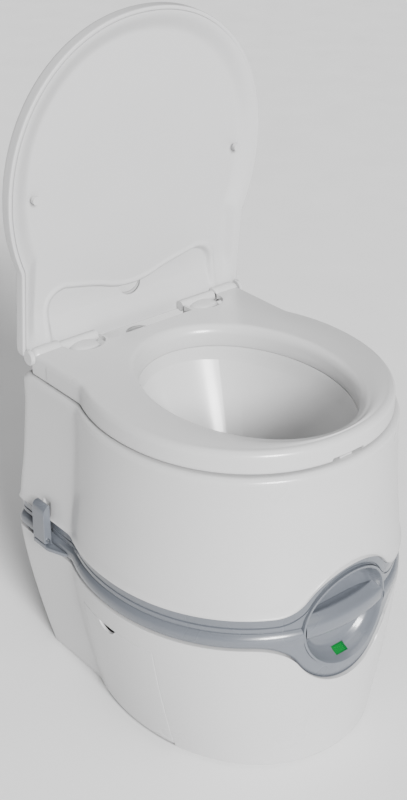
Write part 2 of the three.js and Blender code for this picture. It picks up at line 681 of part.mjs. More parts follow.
function pumpKnob() {
  const knob = bar('x', 20, [150, 171], [PUMP_Y, PUMP_Z], 24);
  const dimple = new THREE.SphereGeometry(30, 20, 14);
  dimple.translate(171 + 27, PUMP_Y, PUMP_Z);
  return knob.subtract(solid(dimple)).subtract(bar('x', 4.4, [140, 152.4], [PUMP_Y, PUMP_Z]));
}

// ---- Hinge posts, seat, lid ---------------------------------------------------------
const hingeBore = (span) => bar('x', PIN_RADIUS + GAP, span, [HINGE_Y, HINGE_Z]);

function hingePost() {
  const column = stack(unitCircle, [
    [DECK_FLUSH_Z + GAP, 1], [SEAT_TOP_Z - 13, 1], [SEAT_TOP_Z - 6, 0.85], [SEAT_TOP_Z - 1.5, 0.5],
  ].map(([z, scale]) => [z, BUMP_HALF * scale, 18.5 * scale, BUMP_Y]));
  const arm = box([-BUMP_HALF + 2, BUMP_HALF - 2], [BUMP_Y, HINGE_Y], [HINGE_Z - 12, HINGE_Z + 6]);
  const knuckle = bar('x', 12, [-BUMP_HALF + 1, BUMP_HALF - 1], [HINGE_Y, HINGE_Z], 28);
  return column.add(arm).add(knuckle).translate([BUMP_X, 0, 0]).subtract(hingeBore([50, 130]));
}

function seat() {
  const body = planBody([
    [SEAT_BASE_Z, SEAT_INSET + 1.5], [SEAT_BASE_Z + 2.5, SEAT_INSET], [SEAT_TOP_Z - 8, SEAT_INSET],
    [SEAT_TOP_Z - 2.5, SEAT_INSET + 2.2], [SEAT_TOP_Z, SEAT_INSET + 7],
  ]);
  const opening = ovalBody([
    [SEAT_BASE_Z - 1, 110, 143.5], [424, 109, 142.5], [431, 111.4, 145],
    [SEAT_TOP_Z, 117, 151], [SEAT_TOP_Z + 2, 122, 156],
  ]);
  const underside = planBody([[SEAT_BASE_Z - 1, SEAT_INSET + 6], [SEAT_TOP_Z - 4, SEAT_INSET + 8]])
    .subtract(ovalBody([[SEAT_BASE_Z - 2, 116, 149.5], [SEAT_TOP_Z - 2, 120, 154]]))
    .subtract(box([-200, 200], [95, 260], SEAT_CUT_Z));
  let ringBody = body
    .subtract(opening)
    .subtract(underside)
    .subtract(box([-200, 200], [HINGE_Y, 260], SEAT_CUT_Z))
    .subtract(box([-63, 63], [HINGE_Y - 27, 260], SEAT_CUT_Z));
  const bumpRoom = stack(unitCircle, SEAT_CUT_Z.map((z) => [z, 27.5, 21, BUMP_Y]))
    .translate([BUMP_X, 0, 0]);
  const postRoom = bumpRoom
    .add(box([62.9, LUG_X0], [BUMP_Y, 260], SEAT_CUT_Z))
    .add(box([LUG_X1, 200], [HINGE_Y - 31, 260], SEAT_CUT_Z));
  const lug = bar('x', LUG_RADIUS, [LUG_X0, LUG_X1], [HINGE_Y, HINGE_Z], 28);
  const bore = hingeBore([100, 170]);
  ringBody = ringBody.subtract(postRoom).add(lug).subtract(bore);
  return ringBody.subtract(mirrorX(postRoom)).add(mirrorX(lug)).subtract(mirrorX(bore));
}

function lidEdgeCut() {
  const cut = new THREE.Shape();
  const low = HINGE_Y - 50;
  const high = HINGE_Y - 72;
  cut.moveTo(-122, HINGE_Y + 50);
  cut.lineTo(-122, high + 14);
  cut.quadraticCurveTo(-121, high + 1, -104, high);
  cut.quadraticCurveTo(-62, high, -38, low - 8);
  cut.quadraticCurveTo(-22, low, 0, low);
  cut.quadraticCurveTo(22, low, 38, low - 8);
  cut.quadraticCurveTo(62, high, 104, high);
  cut.quadraticCurveTo(121, high + 1, 122, high + 14);
  cut.lineTo(122, HINGE_Y + 50);
  return extrudeShape('z', cut, [430, 470], 6);
}

const knuckleRoom = () => {
  const room = bar('x', LUG_RADIUS + 0.8, [64, LUG_X1 + 0.4], [HINGE_Y, HINGE_Z], 32);
  return room.add(mirrorX(room));
};

// The lid is drawn closed here and turned open on its hinge at the end.
function lidShell() {
  const outside = planBody([
    [LID_BASE_Z, LID_INSET + 0.8], [LID_BASE_Z + 2, LID_INSET], [LID_TOP_Z - 6.5, LID_INSET],
    [LID_TOP_Z - 2, LID_INSET + 2.5], [LID_TOP_Z, LID_INSET + 8],
  ], LID_SHIFT);
  const inside = planBody([
    [LID_BASE_Z - 1, LID_INSET + 4], [LID_TOP_Z - 8.5, LID_INSET + 4], [LID_TOP_Z - 4, LID_INSET + 7],
    [LID_TOP_Z - 3.1, LID_INSET + 11],
  ], LID_SHIFT).subtract(box([-200, 200], [LID_REAR_Y - 3.5, 260], [430, 470]));
  const finger = new THREE.Shape();
  const fingerY = HINGE_Y - 47;
  finger.moveTo(-16, fingerY);
  finger.lineTo(16, fingerY);
  finger.quadraticCurveTo(14, fingerY + 16, 0, fingerY + 16);
  finger.quadraticCurveTo(-14, fingerY + 16, -16, fingerY);
  const tipY = LID_SHIFT - HALF_DEPTH + LID_INSET;
  const tab = box([-22, 22], [tipY - 4, tipY + 3], [LID_BASE_Z, LID_BASE_Z + 6]);
  let lid = outside.subtract(inside).subtract(box([-200, 200], [LID_REAR_Y, 260], [430, 470]))
    .add(tab)
    .subtract(extrudeShape('z', finger, [448, 470], 6));
  const ear = bar('x', 11, [157.5, 163], [HINGE_Y, HINGE_Z], 24)
    .add(box([157.5, 163], [HINGE_Y - 11, HINGE_Y + 8], [HINGE_Z, LID_BASE_Z + 6]))
    .subtract(hingeBore([150, 160.8]));
  lid = lid.add(ear).add(mirrorX(ear));
  return lid.subtract(knuckleRoom());
}

function lidLiner() {
  return planBody([
    [LINER_Z, LID_INSET + 6], [LINER_Z + 1.3, LID_INSET + 4.6], [LINER_Z + 3, LID_INSET + 4.6],
  ], LID_SHIFT)
    .subtract(box([-200, 200], [HINGE_Y - 17, 260], [430, 470]))
    .subtract(lidEdgeCut());
}

// ---- Assembly -----------------------------------------------------------------------
const group = new THREE.Group();
group.name = 'cassette_toilet';
const lidGroup = new THREE.Group();
lidGroup.position.set(0, HINGE_Y, HINGE_Z);
lidGroup.rotation.x = -THREE.MathUtils.degToRad(LID_OPEN_DEG);
group.add(lidGroup);

function place(name, body, look, parent = group) {
  const geometry = geometryOf(body);
  if (parent === lidGroup) {
    geometry.translate(0, -HINGE_Y, -HINGE_Z);
  }
  const mesh = new THREE.Mesh(geometry, new THREE.MeshStandardMaterial(look));
  mesh.name = name;
  parent.add(mesh);
}

function placePair(name, body, look, parent = group) {
  place(`${name}_right`, body, look, parent);
  place(`${name}_left`, mirrorX(body), look, parent);
}

place('waste_tank', wasteTank(), white);
place('lower_band', lowerBand(), grey);
place('valve_dish', valveDish(), grey);
place('valve_handle', valveHandle(), grey);
place('valve_blade', valveBlade(), darkGrey);
place('valve_housing', valveHousing(), darkGrey);
const sealSpan = [DECK_WASTE_Z + 0.6, BLADE_Z - 0.8];
place('valve_seal', ring('z', 40.5, OUTLET_RADIUS + 1, sealSpan, [0, OUTLET_Y], 28), rubber);
place('level_window', windowBlock(PANE_HALF_X, PANE_HALF_LENGTH, [-1, 1]), clear);
place('level_float', levelFloat(), green);
place('float_pin', bar('x', 1.5, [-13, 13], [FLOAT_PIN_Y, FLOAT_PIN_Z], 12), steel);
place('roll_door', rollDoor(), white);
const doorPinSpan = [DOOR_Y0 + 45, DOOR_Y1 - 27];
place('door_pin', bar('y', 1.9, doorPinSpan, [DOOR_PIN_X, DOOR_PIN_Z], 16), steel);
placePair('latch_bracket', latchBracket(), grey);
placePair('latch', latch(), grey);
const latchPinSpan = [LATCH_Y0 - 3, LATCH_Y1 + 3];
placePair('latch_pin', bar('y', 1.9, latchPinSpan, [LATCH_PIN_X, LATCH_PIN_Z], 16), steel);
place('pour_spout', pourSpout(), grey);
const collarSpan = [SPOUT_FLOOR_Z + GAP, SPOUT_FLOOR_Z + 7];
place('spout_collar', ring('z', 27, SPOUT_RADIUS + GAP, collarSpan, [SPOUT_X, SPOUT_Y], 20), white);
place('spout_cap', spoutCap(), darkGrey);
const capSeal = ring('x', SPOUT_RADIUS - 0.2, 12, [62 + GAP, 66.6], [SPOUT_Y, SPOUT_Z], 20);
place('spout_cap_seal', capSeal, rubber);
place('vent_button', ventButton(), darkGrey);
const ventSpringSpan = [VENT_WALL_Y + 0.4, VENT_WALL_Y + 12.6];
place('vent_spring', coil('y', 8, 0.8, 3, ventSpringSpan, [VENT_X, VENT_Z]), steel);
const ventDiscSpan = [VENT_WALL_Y - 7.6, VENT_WALL_Y - WALL - GAP];
place('vent_valve_disc', ring('y', 8, 3.4, ventDiscSpan, [VENT_X, VENT_Z], 20), rubber);

place('flush_tank', flushTank(), white);
place('upper_band', upperBand(), grey);
place('bowl', bowl(), white);
const outletSpan = [FLUSH_BASE_Z - 1.8, FLUSH_BASE_Z - 0.3];
place('outlet_seal', ring('z', 50, OUTLET_RADIUS + 3.8, outletSpan, [0, OUTLET_Y], 28), rubber);
place('flush_nozzle', ring('x', 5, 2.5, [-120, -98], [BOWL_Y, NOZZLE_Z], 20), white);
place('fill_cap', fillCap(), white);
const fillSealSpan = [DECK_FLUSH_Z + 0.3, DECK_FLUSH_Z + 1.6];
place('fill_cap_seal', ring('z', 17.5, 14.2, fillSealSpan, [0, FILL_Y], 20), rubber);
place('pump_barrel', pumpBarrel(), white);
place('pump_plunger', pumpPlunger(), white);
place('pump_knob', pumpKnob(), grey);
place('pump_spring', coil('x', 9, 1, 5, [PUMP_POCKET_X + 0.4, 149.6], [PUMP_Y, PUMP_Z]), steel);
placePair('hinge_post', hingePost(), white);
placePair('hinge_pin', bar('x', PIN_RADIUS, [64, 160.4], [HINGE_Y, HINGE_Z]), white);
place('seat', seat(), white);
const padSpan = [DECK_FLUSH_Z + 0.3, SEAT_BASE_Z - 0.3];
placePair('seat_pad', box([135, 152], [-6, 6], padSpan), rubber);
place('seat_pad_front', box([-9, 9], [-189.5, -184.5], padSpan), rubber);

place('lid_shell', lidShell(), white, lidGroup);
place('lid_liner', lidLiner(), white, lidGroup);
placePair('lid_bumper', bar('z', 5, [SEAT_TOP_Z + 0.4, LINER_Z - 0.3], [146, -20]), rubber, lidGroup);

export default group;
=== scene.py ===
"""Looks of the portable cassette toilet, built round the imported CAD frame. Lengths are in mm
until a mesh is made. -Y is the front, +Z is up and the floor is z = 0."""

import math

import bmesh
import bpy
import numpy as np
from mathutils import Matrix, Vector


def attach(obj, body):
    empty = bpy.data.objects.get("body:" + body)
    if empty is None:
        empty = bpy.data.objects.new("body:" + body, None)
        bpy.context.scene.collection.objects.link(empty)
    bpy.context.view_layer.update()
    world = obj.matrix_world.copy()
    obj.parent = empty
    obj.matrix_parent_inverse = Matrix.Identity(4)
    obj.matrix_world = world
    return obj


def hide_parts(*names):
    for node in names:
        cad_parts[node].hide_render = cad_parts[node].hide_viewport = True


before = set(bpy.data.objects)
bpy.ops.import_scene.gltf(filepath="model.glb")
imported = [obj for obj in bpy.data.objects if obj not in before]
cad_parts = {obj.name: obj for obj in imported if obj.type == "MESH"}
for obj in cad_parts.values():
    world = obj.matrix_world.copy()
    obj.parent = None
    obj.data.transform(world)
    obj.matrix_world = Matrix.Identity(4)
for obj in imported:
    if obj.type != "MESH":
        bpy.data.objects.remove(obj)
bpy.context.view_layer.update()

# ---- Dimensions shared with the CAD ---------------------------------------------------
HALF_WIDTH, HALF_DEPTH = 194.0, 214.0
REAR_Y, NECK_HALF_WIDTH, REAR_CORNER = 208.0, 176.0, 14.0
FRONT_POWER, FRONT_LENGTH, REAR_LENGTH, WIDEST_Y = 2.1, 209.5, 215.0, -5.0
BAND_BASE_Z, DECK_WASTE_Z, PARTING_Z, GROOVE_Z = 193.0, 208.0, 213.0, 220.0
FLUSH_BASE_Z, LIP_Z, DECK_FLUSH_Z = 224.0, 233.2, 406.0
BAND_CORE = 9.35
ARCH_Z, ARCH_RADIUS = 202.0, 78.0
DISH_Z, DISC_RADIUS = 206.0, 63.0
OUTLET_Y, OUTLET_RADIUS = -27.5, 33.5
BOWL_Y, BOWL_RIM_Z, NOZZLE_Z = -27.5, 408.6, 394.0
SEAT_BASE_Z, SEAT_TOP_Z, SEAT_INSET = 409.0, 436.0, 20.0
HINGE_Y, HINGE_Z = 175.0, 431.0
COVER_X, COVER_Y, COVER_TOP_Z, COVER_HALF_X, COVER_HALF_Y = 91.5, 159.0, 434.5, 25.0, 20.0
LUG_X0, LUG_X1 = 118.5, 157.0
LID_BASE_Z, LID_TOP_Z, LID_INSET, LID_SHIFT = 438.0, 457.5, 12.5, -12.0
LID_REAR_Y, LID_OPEN_DEG, LID_CENTRE_Y = 183.0, 84.5, -15.0
LID_DISH, LID_RECESS, LID_RIDGE, LID_RECESS_HALF, LID_BLEND = 10.0, 5.0, 1.8, 124.0, 30.0
PIN_RADIUS, PIN_BORE, LUG_RADIUS, COVER_BARREL = 3.9, 4.4, 9.4, 6.6
DOOR_Y0, DOOR_Y1, DOOR_Z0, DOOR_Z1, DOOR_THICK = -78.0, 50.0, 8.5, 161.0, 3.5
NOTCH_Y, NOTCH_RADIUS, NOTCH_RISE = -5.0, 18.0, 9.0
DOOR_SILL_Z, DOOR_PIN_X, DOOR_PIN_Z, ROLL_WALL_X = 4.5, -149.0, 14.5, -80.0
SPOUT_WALL_Y, SPOUT_FLOOR_Z = 144.0, 92.0
VENT_X, VENT_Z, VENT_WALL_Y = -110.0, 150.0, 180.0
PUMP_Y, PUMP_Z, PUMP_POCKET_X = 146.0, 352.0, 128.0
LATCH_Y0, LATCH_Y1, LATCH_TOP_Z = 124.0, 149.0, 258.0
LATCH_IN_X, LATCH_OUT_X, LATCH_PIN_X, LATCH_PIN_Z, LATCH_GROOVE_X = 176.6, 187.0, 182.0, 209.0, 169.5
LATCH_FOOT_Z, LATCH_LEDGE_Z, LATCH_LEDGE_X, LATCH_KNEE = 198.0, 202.5, 175.8, 7.0
FILL_Y, FILL_NECK = 172.0, 14.0
FRONT_FAR, OUTER_FAR, SEAT_CUT_Z = -260, 260, (400, 450)
SIDES = ((1, "right"), (-1, "left"))
WINDOW_Y, WINDOW_Z, WINDOW_TILT = -197.3, 151.6, math.radians(65.6)
MM = 0.001
COLUMNS = 480


# ---- Materials ------------------------------------------------------------------------
def plastic(name, colour, second, rough, bump=0.02, grain=900.0, coat=0.0, metal=0.0):
    """Moulded plastic: two near tones in soft clouds, uneven gloss and a fine moulded grain."""
    material = bpy.data.materials.new(name)
    material.use_nodes = True
    tree = material.node_tree
    link, new = tree.links.new, tree.nodes.new
    shader = tree.nodes["Principled BSDF"]
    place = new("ShaderNodeTexCoord")
    cloud = new("ShaderNodeTexNoise")
    cloud.inputs["Scale"].default_value = 9.0
    cloud.inputs["Detail"].default_value = 3.0
    tones = new("ShaderNodeValToRGB")
    tones.color_ramp.elements[0].position = 0.3
    tones.color_ramp.elements[0].color = (*second, 1)
    tones.color_ramp.elements[1].position = 0.7
    tones.color_ramp.elements[1].color = (*colour, 1)
    gloss = new("ShaderNodeMapRange")
    gloss.inputs["From Min"].default_value = 0.3
    gloss.inputs["From Max"].default_value = 0.7
    gloss.inputs["To Min"].default_value = rough * 0.9
    gloss.inputs["To Max"].default_value = rough * 1.12
    fine = new("ShaderNodeTexNoise")
    fine.inputs["Scale"].default_value = grain
    fine.inputs["Detail"].default_value = 2.0
    relief = new("ShaderNodeBump")
    relief.inputs["Strength"].default_value = bump
    relief.inputs["Distance"].default_value = 0.001
    link(place.outputs["Object"], cloud.inputs["Vector"])
    link(place.outputs["Object"], fine.inputs["Vector"])
    link(cloud.outputs["Fac"], tones.inputs["Fac"])
    link(cloud.outputs["Fac"], gloss.inputs["Value"])
    link(tones.outputs["Color"], shader.inputs["Base Color"])
    link(gloss.outputs["Result"], shader.inputs["Roughness"])
    link(fine.outputs["Fac"], relief.inputs["Height"])
    link(relief.outputs["Normal"], shader.inputs["Normal"])
    shader.inputs["Coat Weight"].default_value = coat
    shader.inputs["Coat Roughness"].default_value = 0.12
    shader.inputs["Metallic"].default_value = metal
    return material


white = plastic("white_gloss", (0.50, 0.50, 0.50), (0.485, 0.485, 0.487), 0.30, 0.012, 700, 0.25)
white_lid = plastic("white_lid", (0.48, 0.48, 0.483), (0.465, 0.465, 0.468), 0.36, 0.014, 700, 0.15)
grey = plastic("grey_satin", (0.118, 0.129, 0.148), (0.107, 0.117, 0.135), 0.28, 0.03, 1100, 0.4)
dark = plastic("grey_dark", (0.07, 0.075, 0.085), (0.06, 0.064, 0.074), 0.42, 0.04, 1100)
rubber = plastic("rubber", (0.02, 0.021, 0.023), (0.03, 0.031, 0.033), 0.75, 0.12, 1600)
steel = plastic("steel", (0.62, 0.63, 0.64), (0.55, 0.56, 0.57), 0.26, 0.03, 2200, 0, 1.0)
green = plastic("green_flag", (0.0, 0.42, 0.06), (0.0, 0.35, 0.045), 0.4, 0.03, 1200)
pane = plastic("window_clear", (0.0, 0.2, 0.035), (0.0, 0.17, 0.03), 0.08, 0.01, 900, 0.5)
pane.node_tree.nodes["Principled BSDF"].inputs["Alpha"].default_value = 0.45


# ---- Mesh helpers ---------------------------------------------------------------------
def make_object(name, points, faces, material, body, sharp=32.0):
    mesh = bpy.data.meshes.new(name)
    mesh.from_pydata([tuple(p) for p in np.asarray(points, float) * MM], [], faces)
    mesh.validate()
    shaped = bmesh.new()
    shaped.from_mesh(mesh)
    bmesh.ops.remove_doubles(shaped, verts=shaped.verts, dist=1e-6)
    bmesh.ops.recalc_face_normals(shaped, faces=shaped.faces)
    shaped.to_mesh(mesh)
    shaped.free()
    piece = bpy.data.objects.new(name, mesh)
    bpy.context.scene.collection.objects.link(piece)
    smooth(piece, sharp)
    mesh.materials.append(material)
    if body:
        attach(piece, body)
    return piece


def smooth(piece, sharp=32.0):
    for face in piece.data.polygons:
        face.use_smooth = True
    piece.data.set_sharp_from_angle(angle=math.radians(sharp))


def grid_faces(rows, columns, wrap_rows=False, wrap_columns=True):
    faces = []
    for i in range(rows if wrap_rows else rows - 1):
        for j in range(columns if wrap_columns else columns - 1):
            k, m = (i + 1) % rows, (j + 1) % columns
            faces.append((i * columns + j, i * columns + m, k * columns + m, k * columns + j))
    return faces


def loft(name, rows, material, body, ring=False, caps=(False, False), sharp=32.0):
    """Joins loops of points, each an array of columns x 3; ring closes the last on the first."""
    rows = [np.asarray(r, float) for r in rows]
    columns = len(rows[0])
    points = np.concatenate(rows)
    faces = grid_faces(len(rows), columns, ring)
    if caps[0]:
        faces.append(tuple(range(columns)))
    if caps[1]:
        faces.append(tuple(range((len(rows) - 1) * columns, len(rows) * columns)))
    return make_object(name, points, faces, material, body, sharp)


def carve(piece, cutters, sharp=32.0, union=()):
    """Cuts solids out of a piece and adds others, for good."""
    for group, operation in ((union, "UNION"), (cutters, "DIFFERENCE")):
        for cutter in group:
            tool = piece.modifiers.new("cut", "BOOLEAN")
            tool.operation = operation
            tool.solver = "EXACT"
            tool.object = cutter
    bpy.context.view_layer.update()
    graph = bpy.context.evaluated_depsgraph_get()
    result = bpy.data.meshes.new_from_object(piece.evaluated_get(graph))
    piece.modifiers.clear()
    piece.data = result
    for cutter in [*cutters, *union]:
        bpy.data.objects.remove(cutter)
    smooth(piece, sharp)


def block(x, y, z, round_by=0.0, steps=5):
    """A box as a cutter, with its edges rounded where round_by is given."""
    made = bmesh.new()
    bmesh.ops.create_cube(made, size=1.0)
    for vertex in made.verts:
        vertex.co = Vector((
            (x[0] if vertex.co.x < 0 else x[1]) * MM,
            (y[0] if vertex.co.y < 0 else y[1]) * MM,
            (z[0] if vertex.co.z < 0 else z[1]) * MM,
        ))
    if round_by:
        bmesh.ops.bevel(made, geom=made.edges[:], offset=round_by * MM, segments=steps, profile=0.5,
                        affect="EDGES")
    return finish_tool(made)


def finish_tool(made):
    mesh = bpy.data.meshes.new("tool")
    bmesh.ops.recalc_face_normals(made, faces=made.faces)
    made.to_mesh(mesh)
    made.free()
    tool = bpy.data.objects.new("tool", mesh)
    bpy.context.scene.collection.objects.link(tool)
    return tool


def rod(axis, radius, span, at, sides=96):
    """A round bar as a cutter; at holds the other two coordinates."""
    made = bmesh.new()
    bmesh.ops.create_cone(made, cap_ends=True, segments=sides, radius1=radius * MM,
                          radius2=radius * MM, depth=(span[1] - span[0]) * MM)
    turn = {"x": Matrix.Rotation(math.pi / 2, 4, "Y"), "y": Matrix.Rotation(-math.pi / 2, 4, "X"),
            "z": Matrix.Identity(4)}[axis]
    middle = (span[0] + span[1]) / 2
    spot = {"x": (middle, *at), "y": (at[0], middle, at[1]), "z": (*at, middle)}[axis]
    made.transform(Matrix.Translation(Vector(spot) * MM) @ turn)
    return finish_tool(made)


def turned(name, profile, material, body, sides=96, sharp=32.0):
    """Turns (radius, x) points round the line of the rear hinge, in white plastic."""
    angle = np.arange(sides) / sides * 2 * math.pi
    rows = [np.stack([np.full(sides, float(x)), HINGE_Y + radius * np.cos(angle),
                      HINGE_Z + radius * np.sin(angle)], 1) for radius, x in profile]
    return loft(name, rows, material, body, caps=(True, True), sharp=sharp)


def round_edges(piece, width, segments, angle):
    edge = piece.modifiers.new("edge", "BEVEL")
    edge.width = width * MM
    edge.segments = segments
    edge.limit_method = "ANGLE"
    edge.angle_limit = math.radians(angle)
    edge.harden_normals = True


def reskin(node, material, body, bevel=0.5, sharp=30.0):
    """Rebuilds a small CAD solid with rounded edges and smooth shading, in its place."""
    mesh = bpy.data.meshes.new(node + "_skin")
    made = bmesh.new()
    made.from_mesh(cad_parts[node].data)
    bmesh.ops.remove_doubles(made, verts=made.verts, dist=2e-6)
    bmesh.ops.dissolve_limit(made, angle_limit=math.radians(1.2), verts=made.verts, edges=made.edges)
    for layer in list(made.loops.layers.float_vector.keys()):
        made.loops.layers.float_vector.remove(made.loops.layers.float_vector[layer])
    made.to_mesh(mesh)
    made.free()
    if "custom_normal" in mesh.attributes:
        mesh.attributes.remove(mesh.attributes["custom_normal"])
    mesh.materials.clear()
    mesh.materials.append(material)
    piece = bpy.data.objects.new(node + "_skin", mesh)
    bpy.context.scene.collection.objects.link(piece)
    smooth(piece, sharp)
    round_edges(piece, bevel, 3, 38)
    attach(piece, body)
    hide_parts(node)
    return piece


# ---- Plan outline and walls -------------------------------------------------------------
def outline(count=COLUMNS, soft=3.5):
    a = np.linspace(-math.pi / 2, math.pi / 2, 1601)
    front = np.c_[HALF_WIDTH * np.sign(a) * np.abs(np.sin(a)) ** (2 / FRONT_POWER),
                  WIDEST_Y - FRONT_LENGTH * np.abs(np.cos(a)) ** (2 / FRONT_POWER)]
    crease = math.acos(NECK_HALF_WIDTH / HALF_WIDTH)
    b = np.linspace(0, crease, 60)[1:]
    side = np.c_[HALF_WIDTH * np.cos(b), WIDEST_Y + REAR_LENGTH * np.sin(b)]
    c = np.linspace(0, math.pi / 2, 16)
    corner = np.c_[NECK_HALF_WIDTH - REAR_CORNER * (1 - np.cos(c)),
                   REAR_Y - REAR_CORNER * (1 - np.sin(c))]
    right = np.concatenate([side, corner])
    loop = np.concatenate([front, right, right[::-1] * (-1, 1)])
    closed = np.concatenate([loop, loop[:1]])
    run = np.concatenate([[0], np.cumsum(np.hypot(*np.diff(closed, axis=0).T))])
    at = np.linspace(0, run[-1], count, endpoint=False)
    even = np.c_[np.interp(at, run, closed[:, 0]), np.interp(at, run, closed[:, 1])]
    step = run[-1] / count
    reach = np.arange(-8, 9)
    weight = np.exp(-0.5 * (reach * step / soft) ** 2)
    weight /= weight.sum()
    return sum(w * np.roll(even, -k, axis=0) for k, w in zip(reach, weight))


PLAN = outline()
PLAN_ANGLE = np.arctan2(PLAN[:, 1] - BOWL_Y, PLAN[:, 0])
AHEAD = PLAN[:, 1] < -60


def at_plan(side, end, z, shift=0.0):
    """The plan loop drawn in by side and end insets, at height z (all may vary per column)."""
    x = PLAN[:, 0] * (1 - np.asarray(side) / HALF_WIDTH)
    y = PLAN[:, 1] * (1 - np.asarray(end) / HALF_DEPTH) + shift
    return np.stack([x, y, np.broadcast_to(np.asarray(z, float), x.shape)], 1)


def oval(half_x, half_y, z, angle=PLAN_ANGLE):
    spread = 1 / np.hypot(np.cos(angle) / half_x, np.sin(angle) / half_y)
    return np.stack([spread * np.cos(angle), BOWL_Y + spread * np.sin(angle),
                     np.full(len(angle), float(z))], 1)


def eased(levels, soft):
    """A smooth curve through (z, inset) levels."""
    z, value = np.array(levels, float).T
    fine = np.arange(z[0] - 30, z[-1] + 30, 0.25)
    raw = np.interp(fine, z, value)
    raw[fine < z[0]] = value[0] + (fine[fine < z[0]] - z[0]) * (value[1] - value[0]) / (z[1] - z[0])
    late = fine > z[-1]
    raw[late] = value[-1] + (fine[late] - z[-1]) * (value[-1] - value[-2]) / (z[-1] - z[-2])
    reach = np.arange(-int(3 * soft / 0.25), int(3 * soft / 0.25) + 1)
    weight = np.exp(-0.5 * (reach * 0.25 / soft) ** 2)
    done = np.convolve(raw, weight / weight.sum(), mode="same")
    keep = slice(len(reach), -len(reach))
    return lambda at: np.interp(at, fine[keep], done[keep])


def arch_edge(x, side, edge, radius, fillet, centre=ARCH_Z):
    """Height of a tank edge that runs level and then flows round the front dish."""
    rise = abs(edge + side * fillet - centre)
    run = math.sqrt((radius + fillet) ** 2 - rise ** 2)
    join = radius * run / (radius + fillet)
    x = np.abs(x)
    ring = centre + side * np.sqrt(np.maximum(radius ** 2 - x ** 2, 0))
    foot = edge + side * (fillet - np.sqrt(np.maximum(fillet ** 2 - (run - x) ** 2, 0)))
    return np.where(x < join, ring, np.where(x < run, foot, edge))


def edge_line(side, edge, radius, fillet, centre=ARCH_Z):
    return np.where(AHEAD, arch_edge(PLAN[:, 0], side, edge, radius, fillet, centre), edge)


UPPER_EDGE = edge_line(1, LIP_Z, ARCH_RADIUS, 45)
LOWER_EDGE = edge_line(-1, BAND_BASE_Z, ARCH_RADIUS, 60)
GROOVE_EDGE = edge_line(1, GROOVE_Z, 65.5, 45, DISH_Z)


def setback(x):
    across = np.minimum(np.abs(x) / HALF_WIDTH, 1)
    return FRONT_LENGTH * (1 - (1 - across ** FRONT_POWER) ** (1 / FRONT_POWER))


# ---- Waste tank -------------------------------------------------------------------------
def waste_insets(z, past=0.0):
    low = np.clip(1 - np.asarray(z, float) / 192, 0, 1)
    foot = 3.4 * np.clip(1 - np.asarray(z, float) / 5, 0, 1) ** 2
    return 1.2 + 35.8 * low ** 1.35 + foot + past, 1.2 + 15.8 * low ** 1.45 + foot + past


def build_waste_tank():
    top = LOWER_EDGE - 0.5
    rows = []
    for t in np.linspace(0, 1, 46):
        z = top * (1 - t)
        side, end = waste_insets(z)
        bead = 1.3 * np.exp(-(((top - z) - 1.1) / 1.0) ** 2)
        rows.append(at_plan(side - bead, end - bead, z))
    side, end = waste_insets(0)
    rows.append(at_plan(side + 1.2, end + 1.2, 0.0))
    rows.append(at_plan(side + 40, end + 40, 0.0))
    start = [at_plan(BAND_CORE + 3, BAND_CORE + 3, DECK_WASTE_Z),
             at_plan(BAND_CORE, BAND_CORE, DECK_WASTE_Z - 1.5),
             at_plan(BAND_CORE, BAND_CORE, np.minimum(top + 6, DECK_WASTE_Z - 3)),
             at_plan(BAND_CORE, BAND_CORE, top),
             at_plan(2.2, 2.2, top)]
    shell = loft("waste_shell", start + rows, white, "waste_unit", caps=(True, True))
    cutters = [
        block((-OUTER_FAR, ROLL_WALL_X), (DOOR_Y0 + 6, DOOR_Y1 - 6), (14, DOOR_Z1 - 7), 5),
        block((-OUTER_FAR, DOOR_PIN_X + 8.5), (DOOR_Y0 - 0.7, DOOR_Y1 + 0.7), (DOOR_SILL_Z, 28)),
        block((-200, -140), (NOTCH_Y - 14, NOTCH_Y + 14), (145, DOOR_Z1 - 1), 4),
        block((-62, 118), (SPOUT_WALL_Y, OUTER_FAR), (SPOUT_FLOOR_Z, 180), 9),
        rod("y", 16, (VENT_WALL_Y, OUTER_FAR), (VENT_X, VENT_Z)),
        rod("y", DISC_RADIUS + 1, (FRONT_FAR, -172), (0, DISH_Z)),
        rod("z", OUTLET_RADIUS, (150, 260), (0, OUTLET_Y)),
        door_recess(),
    ]
    carve(shell, cutters, 30)
    # Painted shade: the roll compartment's inner faces get the dark grey so the pocket seen through the
    # door's notch looks shadowed; the plastic there is really white
    shell.data.materials.append(dark)
    for face in shell.data.polygons:
        x, y, z = face.center / MM
        painted_shade_pocket = -147 < x < ROLL_WALL_X + 2 and DOOR_Y0 < y < DOOR_Y1 and 12 < z < DOOR_Z1
        face.material_index = 1 if painted_shade_pocket and side_at(y, z, DOOR_THICK + 2) < x else 0
    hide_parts("waste_tank")
    round_edges(shell, 0.6, 2, 50)


def side_at(y, z, past=0.0):
    """x of the waste tank's left wall at a given y and z."""
    side, end = waste_insets(z, past)
    half = PLAN[(PLAN[:, 0] > 0) & (PLAN[:, 1] > -190) & (PLAN[:, 1] < 205)]
    half = half[np.argsort(half[:, 1])]
    across = np.interp(np.asarray(y) / (1 - end / HALF_DEPTH), half[:, 1], half[:, 0])
    return -across * (1 - side / HALF_WIDTH)


